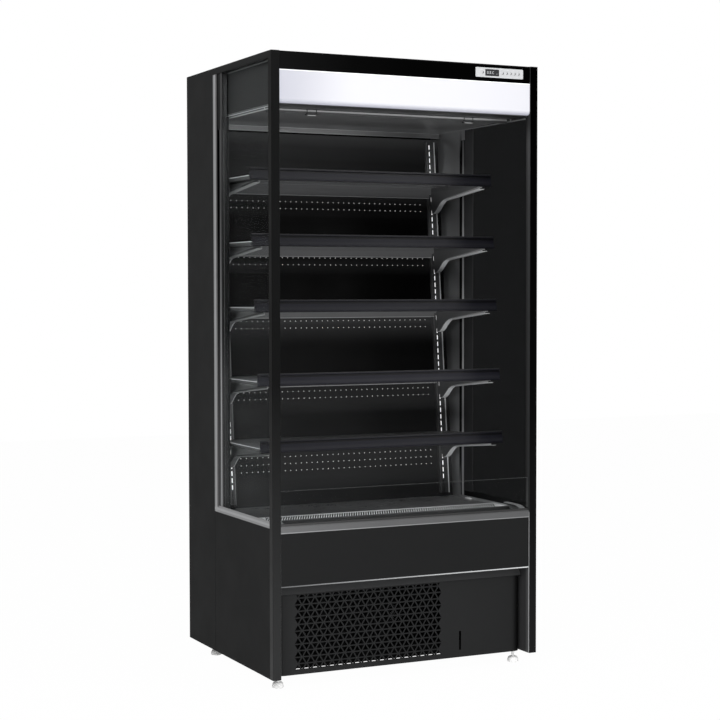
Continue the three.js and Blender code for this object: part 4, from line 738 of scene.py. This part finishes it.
def dress_cad():
    """Each CAD node gets its finish."""
    # painted shade: the posts darken upwards, the right one far more
    dress("front_post_left", post_finish("left", [(0.1, 1.20), (0.5, 0.75), (1.0, 0.28), (2.0, 0.34)]))
    dress("front_post_right", post_finish("right", [(0.1, 0.50), (0.5, 0.26), (1.0, 0.075), (2.0, 0.012)]))
    # painted shade: the fascia darkens to the right
    fascia = [(-0.47, 0.26), (-0.20, 0.09), (0.0, 0.05), (0.47, 0.015)]
    dress("fascia", shade_painted_black("fascia_black", "x", fascia).done())
    dress("roof_panel back_wall", powder_coat("sheet_black", BLACK, 0.40).done())
    dress("front_panel", front_panel_finish())
    dress("kick_panel", kick_finish())
    dress("side_panel_left side_panel_right", side_panel_finish())
    dress("window_trim_left window_trim_right", trim_finish())
    dress("glazing_channel_left glazing_channel_right", channel_finish())
    dress("window_gasket_left window_gasket_right", gasket_finish())
    dress("side_glass_left", glass("glass_clear", (0.97, 0.975, 0.975), 1.012))
    # painted shade: the right pane is tinted dark to stand in for the shade seen through it, while the
    # left pane is clear
    dress("side_glass_right", glass("glass_dark", (0.312, 0.314, 0.316), 1.012))
    dress("front_riser", glass("riser_clear", (0.97, 0.975, 0.975), 1.02))
    dress("base_tank", powder_coat("interior_grey", (0.050, 0.051, 0.054), 0.36, 0.4).done())
    dress("canopy_ceiling", ceiling_finish())
    dress("rear_duct_panel", rear_panel_finish())
    dress("upright_left upright_right", upright_finish())
    for number, (_, top, front) in enumerate(SHELVES, 1):
        dress(f"shelf_{number}", shelf_finish(number, top, front))
        dress(f"price_strip_{number}", price_strip_finish(number, top))
    dress("light_panel", lit_white())
    dress("lamp_strip", glowing("lamp_lens", (0.9, 0.9, 0.92), 1.0))
    dress("controller_bezel", brushed("controller_white", (0.44, 0.445, 0.455), 0.35, 0, 0.0).done())
    dress("controller_display", moulded("display_dark", (0.022, 0.0225, 0.024), 0.16, 0.05).done())
    dress("key_power key_1 key_2 key_3 key_4 key_5",
          moulded("key_cap", (0.50, 0.505, 0.515), 0.4, 0.1).done())
    dress("blind_roller", brushed("roller_tube", (0.55, 0.56, 0.57), 0.3, 0).done())
    dress("blind_bar", blind_bar_finish())
    dress("front_ledge", ledge_finish())
    dress("return_air_grille", brushed("return_grille", PALE_AND_HIGHLIGHT, 0.32, 0).done())
    dress("deck_pan", deck_finish())
    # painted shade: the base frame is near black so that the kick panel's holes show dark
    dress("base_frame", powder_coat("base_black", (0.0035, 0.0035, 0.0036), 0.6, 0.01).done())
    dress("drip_tray", galvanised())
    dress("foot_front_left foot_front_right foot_rear_left foot_rear_right",
          moulded("foot_nylon", (0.82, 0.82, 0.81), 0.45).done())
    # own black of the machine parts, kept near black as painted shade so that the holes show dark
    dress("compressor condenser condenser_fan evaporator_fan",
          powder_coat("compressor_black", (0.004, 0.004, 0.0045), 0.6, 0.05).done())
    dress("evaporator", brushed("fin_aluminium", (0.55, 0.56, 0.57), 0.35, 2).done())


def soften(names, width):
    """Rounds the folds of the named sheet parts a little."""
    for name in names.split():
        bevel = NODES[name].modifiers.new("edges", "BEVEL")
        bevel.width = width
        bevel.segments = 2
        bevel.limit_method = "ANGLE"
        bevel.angle_limit = radians(40)


# ---------- pieces that the CAD leaves out ----------
def on_panel(x, s, t):
    """A point of the leaning rear panel: s along it from its foot, t in front of its face."""
    return PANEL_FOOT + Vector((
        x, s * sin(LEAN) - t * cos(LEAN), s * cos(LEAN) + t * sin(LEAN),
    ))


def pressed_ring(x, row, profile):
    """Rings of (radius, lift) round a point of the rear panel."""
    vertices = []
    for radius, lift in profile:
        for k in range(AIR_SIDES):
            angle = 2 * pi * k / AIR_SIDES
            vertices.append(on_panel(x + radius * cos(angle), row + radius * sin(angle), lift))
    return vertices, tube(AIR_SIDES, len(profile), closed=False)


def add_air_holes():
    """Pressed air holes in rows under each shelf: a rolled rim round an eye that glows with painted light.
    """
    rims, eyes = [], []
    for top, first, count in zip(SHELF_TOPS, AIR_DROPS, AIR_ROWS):
        for step in range(count):
            row = (top - (first + step * AIR_ROW_STEP) - PANEL_FOOT.z) / cos(LEAN)
            for column in range(AIR_COLUMNS):
                x = AIR_FIRST + column * AIR_STEP
                rims.append(pressed_ring(x, row, AIR_RIM))
                vertices, faces = pressed_ring(x, row, AIR_EYE)
                eyes.append((vertices, faces + [list(range(AIR_SIDES, 2 * AIR_SIDES))]))
    rim = brushed("hole_rim", (0.10, 0.101, 0.103), 0.3, 0).done()
    piece("air_hole_rims", *gathered(rims), rim, "cabinet", "interior_grey")
    # painted light: the eyes glow
    pale = glowing("hole_eye", (0.90, 0.90, 0.90), 0.9)
    piece("air_hole_eyes", *gathered(eyes), pale, "cabinet", "interior_grey")


def add_slot_glows():
    """Strips that glow with painted light behind the slots of both uprights, left out where a bracket
    hooks in.
    """
    hooked = {slot - step for slot in SHELF_SLOTS for step in (0, 2)}
    for hand, sign in HANDS:
        parts = []
        for i in range(2, SLOT_COUNT):
            if i in hooked:
                continue
            low = SLOT_FIRST + i * SLOT_PITCH + (SLOT_LENGTH - GLOW_LENGTH) / 2
            high = low + GLOW_LENGTH
            corners = [(-GLOW_HALF, low), (GLOW_HALF, low), (GLOW_HALF, high), (-GLOW_HALF, high)]
            ring = [on_panel(sign * SLOT_X + dx, s, t) for t in GLOW_DEPTHS for dx, s in corners]
            parts.append((ring, tube(4, 2, flip=True)))
        # painted light: the strips glow
        pale = glowing(f"slot_glow_{hand}", (0.92, 0.92, 0.92), 1.0)
        piece(f"slot_glow_{hand}", *gathered(parts), pale, "cabinet", "trim_grey")


def add_grille():
    """The lift-out grille: a flat sheet with close slanted slots, shaded along its front edge."""
    (x0, y0, z0), (x1, y1, z1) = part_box("return_air_grille")
    count, width, reach, slope = 98, 0.0052, 0.044, 0.483
    slant = 2 * reach * slope
    half = x1 - 0.0245
    pitch = 2 * half / count
    mid = y0 + reach + 0.010
    vertices, faces = [], []

    def corner(x, y):
        vertices.append((x, y, z1))
        vertices.append((x, y, z0))
        return len(vertices) - 2

    columns = [corner(x0, y0), corner(x0, y1)]
    rows = []
    for i in range(count):
        x = -half + (i + 0.5) * pitch
        rows.append([corner(x + across * width / 2 + back * slant / 2, mid + back * reach)
                     for across, back in [(-1, -1), (1, -1), (1, 1), (-1, 1)]])
    front = [i for a, b, _, _ in rows for i in (a, b)]
    rear = [i for _, _, c, d in rows for i in (d, c)]
    edge_front = [corner(vertices[i][0], y0) for i in front]
    edge_rear = [corner(vertices[i][0], y1) for i in rear]
    right = [corner(x1, y0), corner(x1, y1)]

    def sheet(loop):
        faces.append(loop)
        faces.append([i + 1 for i in reversed(loop)])

    for i in range(len(front) - 1):
        sheet([edge_front[i], edge_front[i + 1], front[i + 1], front[i]])
        sheet([rear[i], rear[i + 1], edge_rear[i + 1], edge_rear[i]])
        if i % 2:
            sheet([front[i], front[i + 1], rear[i + 1], rear[i]])
    sheet([columns[0], edge_front[0], front[0], rear[0], edge_rear[0], columns[1]])
    sheet([edge_front[-1], right[0], right[1], edge_rear[-1], rear[-1], front[-1]])
    walls = [[columns[0], *edge_front, right[0], right[1], *reversed(edge_rear), columns[1]]]
    walls += [[d, c, b, a] for a, b, c, d in rows]
    for loop in walls:
        for k, i in enumerate(loop):
            j = loop[(k + 1) % len(loop)]
            faces.append([i, i + 1, j + 1, j])
    steel = brushed("grille_steel", (0.84, 0.85, 0.86), 0.36, 0, 0.2)
    steel.paint(steel.below(steel.y, y0 + 0.0120, y0 + 0.0150), (0.080, 0.081, 0.083))
    grille = piece("grille_face", vertices, faces, steel.done(), "air_grille", "trim_grey")
    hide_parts("return_air_grille")


def add_canopy_ends():
    """Sheet covers that close the canopy behind the upper part of each window."""
    f = powder_coat("canopy_cover", (0.040, 0.0405, 0.041), 0.4, 0.01)
    # painted highlights along the lower edge, split by a line of painted shade, and along the top edge
    for low, high, colour in [(0.0002, 0.0024, PALE_AND_HIGHLIGHT), (0.0026, 0.0048, (0.006, 0.006, 0.006)),
                              (0.0050, 0.0066, (0.30, 0.305, 0.31))]:
        f.paint(f.within(f.z, COVER_FOOT + low, COVER_FOOT + high, 0.0002), colour)
    f.paint(f.ramp(f.z, COVER_TOP - 0.0022, COVER_TOP - 0.0016), (0.30, 0.305, 0.31))
    cover = f.done()
    inner, outer, front, rear = 0.4622, 0.4628, -0.3575, 0.0645
    for hand, sign in HANDS:
        near, far = sorted((sign * inner, sign * outer))
        piece(f"canopy_cover_{hand}", *slab(near, far, front, rear, COVER_FOOT, COVER_TOP),
              cover, "cabinet", "body_black")


def add_window_seals():
    """Edge band of the right pane, on its inner face: a wide rear strip and a low sill strip."""
    near, far = INNER + 0.0001, INNER + 0.0019
    front, seam, rear = -0.3580, 0.0080, 0.0675
    foot, sill, top = SILL_TOP - 0.0006, 0.5524, 1.8650
    f = moulded("window_seal", (0.0106, 0.0107, 0.0110), 0.6, 0.005)
    f.paint(f.within(f.y, seam, seam + 0.0060, 0.0010), (0.0070, 0.0070, 0.0072))
    f.paint(f.ramp(f.z, sill - 0.0004, sill + 0.0006), (0.045, 0.0455, 0.047))
    parts = [slab(near, far, seam, rear, sill, top), slab(near, far, front, rear, foot, sill)]
    piece("window_seal_right", *gathered(parts), f.done(), "cabinet", "trim_grey")


def add_riser_edges():
    """Edges of the clear riser plate, with a painted highlight."""
    inside = RISER_HALF - EDGE_WIDTH
    parts = [slab(x0, x1, RISER_FRONT, RISER_BACK, foot, RISER_TOP) for x0, x1, foot in [
        (-RISER_HALF, RISER_HALF, RISER_TOP - EDGE_WIDTH), (inside, RISER_HALF, RISER_FOOT),
        (-RISER_HALF, -inside, RISER_FOOT),
    ]]
    # painted highlight on the edges
    edge = moulded("riser_edge", (0.075, 0.077, 0.077), 0.3, 0.1).done()
    piece("riser_edges", *gathered(parts), edge, "cabinet", "glass_clear")


def add_trough_ends():
    """Pale moulded ends that close the air trough against the side walls."""
    pale = moulded("trough_end", (0.20, 0.203, 0.207), 0.4, 0.2).done()
    steps, front, length, foot, height = 12, -0.3660, 0.1180, 0.5330, 0.0120
    section = [(-0.0098, -0.0016), (0.0098, -0.0016), (0.0098, 0.0012), (0.0050, 0.0020),
               (-0.0050, 0.0020), (-0.0098, 0.0012)]
    for hand, sign in HANDS:
        path = []
        for k in range(steps + 1):
            share = k / steps
            rise = height * sin(pi * min(1.0, share * 2.4) / 2)
            path.append((sign * 0.4500, front + length * share, foot + rise))
        piece(f"trough_end_{hand}", *swept(section, path), pale, "cabinet", "trim_grey")


def add_deck_clips():
    """White clips that hold the deck pan down at the side walls."""
    white = moulded("deck_clip", (0.90, 0.90, 0.90), 0.35, 0.3).done()
    for hand, sign in HANDS:
        near, far = sorted((sign * 0.4500, sign * 0.4590))
        parts = [slab(near, far, 0.006, 0.044, 0.5264, 0.5304, 0.0016),
                 slab(near + 0.002, far - 0.002, 0.014, 0.036, 0.5296, 0.5324, 0.0012)]
        piece(f"deck_clip_{hand}", *gathered(parts), white, "deck", "trim_grey")


def skirt_strip(line, sign, thick, low, high, ceiling):
    """A strip along the (y, z) line, from low to high above it, or up to a level ceiling."""
    near, far = sign * BRACKET_X, sign * (BRACKET_X + thick)
    vertices = []
    for y, z in line:
        upper = ceiling if high is None else z + high
        vertices += [(near, y, z + low), (near, y, upper), (far, y, upper), (far, y, z + low)]
    return vertices, tube(4, len(line), flip=sign > 0)


def add_bracket_skirts():
    """Deeper lower edge of each bracket: a thin web with a folded toe along it; the toes carry a painted
    highlight and the left webs painted light.
    """
    # painted highlight on the toes, dimmer on the left
    toe = brushed("bracket_toe", (0.88, 0.89, 0.90), 0.32, 1, 0.1)
    toe.paint(toe.left(), (0.42, 0.425, 0.43))
    steel = toe.done()
    # painted light: the left webs are painted lighter against their shade
    plate = powder_coat("bracket_web", (0.42, 0.425, 0.43), 0.36, 0.1)
    plate.paint(plate.left(), (0.55, 0.555, 0.56))
    web = plate.done()
    for name, top, front in SHELVES:
        line = [(front + 0.0055, top - 0.0245), (front + 0.1180, top - 0.0358),
                (front + 0.2200, top - 0.0460), (front + 0.2855, top - 0.0528)]
        toes, webs = [], []
        for _, sign in HANDS:
            toes.append(skirt_strip(line, sign, 0.0206, -0.0006, 0.0006, None))
            toes.append(skirt_strip(line, sign, 0.0010, 0.0006, 0.0030, None))
            webs.append(skirt_strip(line, sign, 0.0006, 0.0030, None, top - 0.0162))
        piece(f"bracket_toes_{name}", *gathered(toes), steel, f"shelf_{name}", "shelf_grey")
        piece(f"bracket_webs_{name}", *gathered(webs), web, f"shelf_{name}", "shelf_grey")


def add_shelf_backs():
    """Deeper rear flange of each shelf: a thin sheet with a painted highlight along its lower edge."""
    half, back, foot, head = 0.4060, 0.3580, 0.0420, 0.0180
    for name, top, front in SHELVES:
        f = powder_coat(f"shelf_back_{name}", (0.160, 0.162, 0.166), 0.36, 0.1)
        # painted highlight along the lower edge
        f.paint(f.below(f.z, top - 0.0400, top - 0.0394), (0.40, 0.404, 0.41))
        y = front + back
        piece(f"shelf_back_{name}", *slab(-half, half, y - 0.0010, y, top - foot, top - head),
              f.done(), f"shelf_{name}", "shelf_grey")


def add_fascia_cap():
    """Closing strip on top of the fascia, level with the posts."""
    cap = powder_coat("fascia_cap", (0.0030, 0.0030, 0.0031), 0.4, 0.01).done()
    piece("fascia_cap", *slab(-0.4605, 0.4605, -0.3808, -0.3600, 2.0351, 2.0392), cap,
          "cabinet", "body_black")


def add_louvre_shade():
    """A dark sheet of painted shade inside the rear louvres, that keeps the backdrop from showing through.
    """
    screen = moulded("louvre_shade", (0.004, 0.004, 0.004), 0.8, 0.0).done()
    piece("louvre_shade", *slab(-0.440, 0.440, 0.3700, 0.3704, 0.1000, 0.3200), screen,
          "cabinet", "base_grey")


def add_feet():
    """Levelling feet: a domed nylon pad, a collar and a threaded stem."""
    nylon = moulded("foot_nylon", (0.90, 0.90, 0.895), 0.45, 0.2).done()
    profile = [(0.0172, 0.0), (0.0184, 0.0006), (0.0190, 0.0020), (0.0190, 0.0066), (0.0184, 0.0082)]
    for k in range(7):
        angle = radians(15 * k)
        profile.append((0.0082 + 0.0098 * cos(angle), 0.0090 + 0.0096 * sin(angle)))
    profile.append((0.0080, 0.0190))
    thread_foot, thread_pitch, turns = 0.0196, 0.0030, 21
    for turn in range(turns):
        z = thread_foot + turn * thread_pitch
        profile += [(0.0049, z), (0.0043, z + 0.0010), (0.0049, z + 0.0020)]
    profile.append((0.0046, 0.0818))
    segments, foot_x = 28, 0.442
    for end, y in [("front", -0.309), ("rear", 0.245)]:
        for hand, sign in HANDS:
            name = f"{end}_{hand}"
            made = piece(f"foot_pad_{name}", *turned(profile, segments, (sign * foot_x, y, 0.0)), nylon,
                         f"foot_{end[0]}{hand[0]}", "foot_white", smooth=True)
            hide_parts(f"foot_{name}")


def figure_bar(x0, z0, x1, z1):
    """One bar of a seven-segment figure, from point to point."""
    front, thick, half = -0.38395, 0.0002, 0.00045
    vertices = [(x, depth, z) for depth in (front, front + thick) for x, z in [
        (x0 - half, z0 - half), (x1 + half, z0 - half), (x1 + half, z1 + half), (x0 - half, z1 + half),
    ]]
    return vertices, tube(4, 2, flip=True)


def add_display_figures():
    """Plain seven-segment figures, a point and a dash behind the display."""
    wide, high = 0.0021, 0.0035
    segments = {"3": "abcdg", "5": "acdfg", "C": "adef"}
    bars = {"a": (-wide, high, wide, high), "g": (-wide, 0, wide, 0), "d": (-wide, -high, wide, -high),
            "f": (-wide, 0, -wide, high), "b": (wide, 0, wide, high),
            "e": (-wide, -high, -wide, 0), "c": (wide, -high, wide, 0)}
    parts = []
    for place, figure in enumerate("35C"):
        centre = 0.2945 + place * 0.0105
        for letter in segments[figure]:
            x0, z0, x1, z1 = bars[letter]
            parts.append(figure_bar(centre + x0, CONTROLLER_Z + z0, centre + x1, CONTROLLER_Z + z1))
    foot = CONTROLLER_Z - high
    for x0, x1 in [(0.2998, 0.2998), (0.3290, 0.3310)]:
        parts.append(figure_bar(x0, foot, x1, foot))
    piece("display_figures", *gathered(parts), glowing("display_figure", PALE_AND_HIGHLIGHT, 0.2),
          "cabinet", "controller_white")


def add_key_marks():
    """A crescent on each key."""
    bodies = ["button_power"] + [f"button_{i}" for i in range(1, 6)]
    mark = moulded("key_mark", (0.018, 0.0182, 0.019), 0.45, 0.1).done()
    steps, radius, thickest = 14, 0.0042, 0.0028
    ring = 2 * (steps + 1)
    for key_x, body in zip(KEY_XS, bodies):
        vertices, faces = [], []
        for depth in (-0.38462, -0.38450):
            for k in range(steps + 1):
                angle = radians(-120 + 210 * k / steps)
                inner = 0.0040 - thickest * sin(pi * k / steps)
                for r in (inner, radius):
                    x, z = key_x + r * cos(angle), CONTROLLER_Z + r * sin(angle)
                    vertices.append((x, depth, z))
        for k in range(steps):
            a, b = 2 * k, 2 * k + ring
            faces += [[a, a + 2, a + 3, a + 1], [b + 1, b + 3, b + 2, b],
                      [a + 1, a + 3, b + 3, b + 1], [b, b + 2, a + 2, a]]
        piece(f"mark_{body}", vertices, faces, mark, body, "controller_white")


def add_blind_fabric():
    """Woven screen cloth that hangs from the roller into the pull bar."""
    columns, rows, wave, threads = 86, 40, 0.0003, 4200.0
    vertices, faces = [], []
    for j in range(rows + 1):
        z = CLOTH_LOW + (CLOTH_HIGH - CLOTH_LOW) * j / rows
        share = sin(pi * j / rows)
        for i in range(columns + 1):
            x = -CLOTH_HALF + 2 * CLOTH_HALF * i / columns
            vertices.append((x, CLOTH_Y + wave * share * sin(i * 0.9), z))
    for j in range(rows):
        for i in range(columns):
            a = j * (columns + 1) + i
            faces.append([a, a + 1, a + columns + 2, a + columns + 1])
    f = Finish("blind_cloth", (0.36, 0.37, 0.38), 0.85, Sheen_Weight=0.3)
    weave = f.both(f.calc("SINE", f.both(f.x, threads)), f.calc("SINE", f.both(f.z, threads)))
    f.shade(f.ramp(weave, -1.0, 1.0), 0.75, 1.15)
    f.bump(weave, 0.0002, 0.6)
    cloth = piece("blind_fabric", vertices, faces, f.done(), None, "blind_cloth", smooth=True)
    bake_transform(cloth)
    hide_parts("blind_cloth")


# ---------- stage and light ----------
def seen_directly(tree):
    """1 for rays from the camera, in mirrors and through glass, 0 for light on the object."""
    path = tree.nodes.new("ShaderNodeLightPath")
    seen = path.outputs["Is Camera Ray"]
    for kind in ["Is Glossy Ray", "Is Transmission Ray"]:
        most = tree.nodes.new("ShaderNodeMath")
        most.operation = "MAXIMUM"
        tree.links.new(seen, most.inputs[0])
        tree.links.new(path.outputs[kind], most.inputs[1])
        seen = most.outputs[0]
    return seen


def mix_shaders(tree, share, first, second, surface):
    mix = tree.nodes.new("ShaderNodeMixShader")
    for socket, value in zip(mix.inputs, (share, first, second)):
        tree.links.new(value, socket)
    tree.links.new(mix.outputs[0], surface)


def add_floor():
    """A floor that is white where it is seen and keeps a little of the object's shadow."""
    half, whiteness = 9, 0.985
    mesh = bpy.data.meshes.new("floor")
    corners = [(-half, -half, 0), (half, -half, 0), (half, half, 0), (-half, half, 0)]
    mesh.from_pydata(corners, [], [[0, 1, 2, 3]])
    floor = placed("floor", mesh)
    material = bpy.data.materials.new("floor")
    material.use_nodes = True
    tree = material.node_tree
    tree.nodes.clear()
    out = tree.nodes.new("ShaderNodeOutputMaterial")
    diffuse = tree.nodes.new("ShaderNodeBsdfDiffuse")
    diffuse.inputs["Color"].default_value = (0.82, 0.82, 0.82, 1)
    glow = tree.nodes.new("ShaderNodeEmission")
    glow.inputs["Strength"].default_value = 1.0
    share = tree.nodes.new("ShaderNodeMath")
    share.operation = "MULTIPLY"
    share.inputs[1].default_value = whiteness
    tree.links.new(seen_directly(tree), share.inputs[0])
    mix_shaders(tree, share.outputs[0], diffuse.outputs[0], glow.outputs[0], out.inputs[0])
    mesh.materials.append(material)


def add_world():
    """Plain white where it is seen, and a weaker white light all round the object."""
    world = bpy.data.worlds.new("studio")
    bpy.context.scene.world = world
    world.use_nodes = True
    tree = world.node_tree
    light = tree.nodes["Background"]
    white = tree.nodes.new("ShaderNodeBackground")
    for background, strength in [(light, 0.35), (white, 1.0)]:
        background.inputs["Color"].default_value = (1, 1, 1, 1)
        background.inputs["Strength"].default_value = strength
    mix_shaders(tree, seen_directly(tree), light.outputs[0], white.outputs[0],
                tree.nodes["World Output"].inputs[0])


def add_lamp(name, place, target, size, power, seen=True):
    light = bpy.data.lights.new(name, "AREA")
    light.shape = "RECTANGLE"
    light.size, light.size_y = size
    light.energy = power
    lamp = placed(name, light)
    lamp.location = place
    lamp.rotation_euler = (Vector(target) - Vector(place)).to_track_quat("-Z", "Y").to_euler()
    lamp.visible_camera = seen


bpy.context.scene.view_settings.view_transform = "Standard"
place_camera()
dress_cad()
soften("front_post_left front_post_right", 0.0008)
soften("fascia front_panel front_ledge deck_pan", 0.0005)
add_air_holes()
add_slot_glows()
add_grille()
add_canopy_ends()
add_window_seals()
add_riser_edges()
add_trough_ends()
add_deck_clips()
add_bracket_skirts()
add_shelf_backs()
add_fascia_cap()
add_louvre_shade()
add_feet()
add_display_figures()
add_key_marks()
add_blind_fabric()
add_floor()
add_world()
add_lamp("key", (-3.2, -3.6, 3.4), (0, 0, 1.0), (2.2, 2.2), 150)
add_lamp("fill", (3.6, -4.2, 2.6), (0, 0, 1.0), (2.5, 2.5), 70)
add_lamp("top", (0, -0.8, 4.2), (0, 0, 1.0), (2.5, 2.5), 60)
add_lamp("canopy", (0, -0.310, 1.846), (0, -0.12, 0.5), (0.84, 0.03), 3.5, seen=False)
add_lamp("low", (-0.5, -3.0, 0.25), (0.1, 0, 1.2), (1.8, 0.4), 35, seen=False)
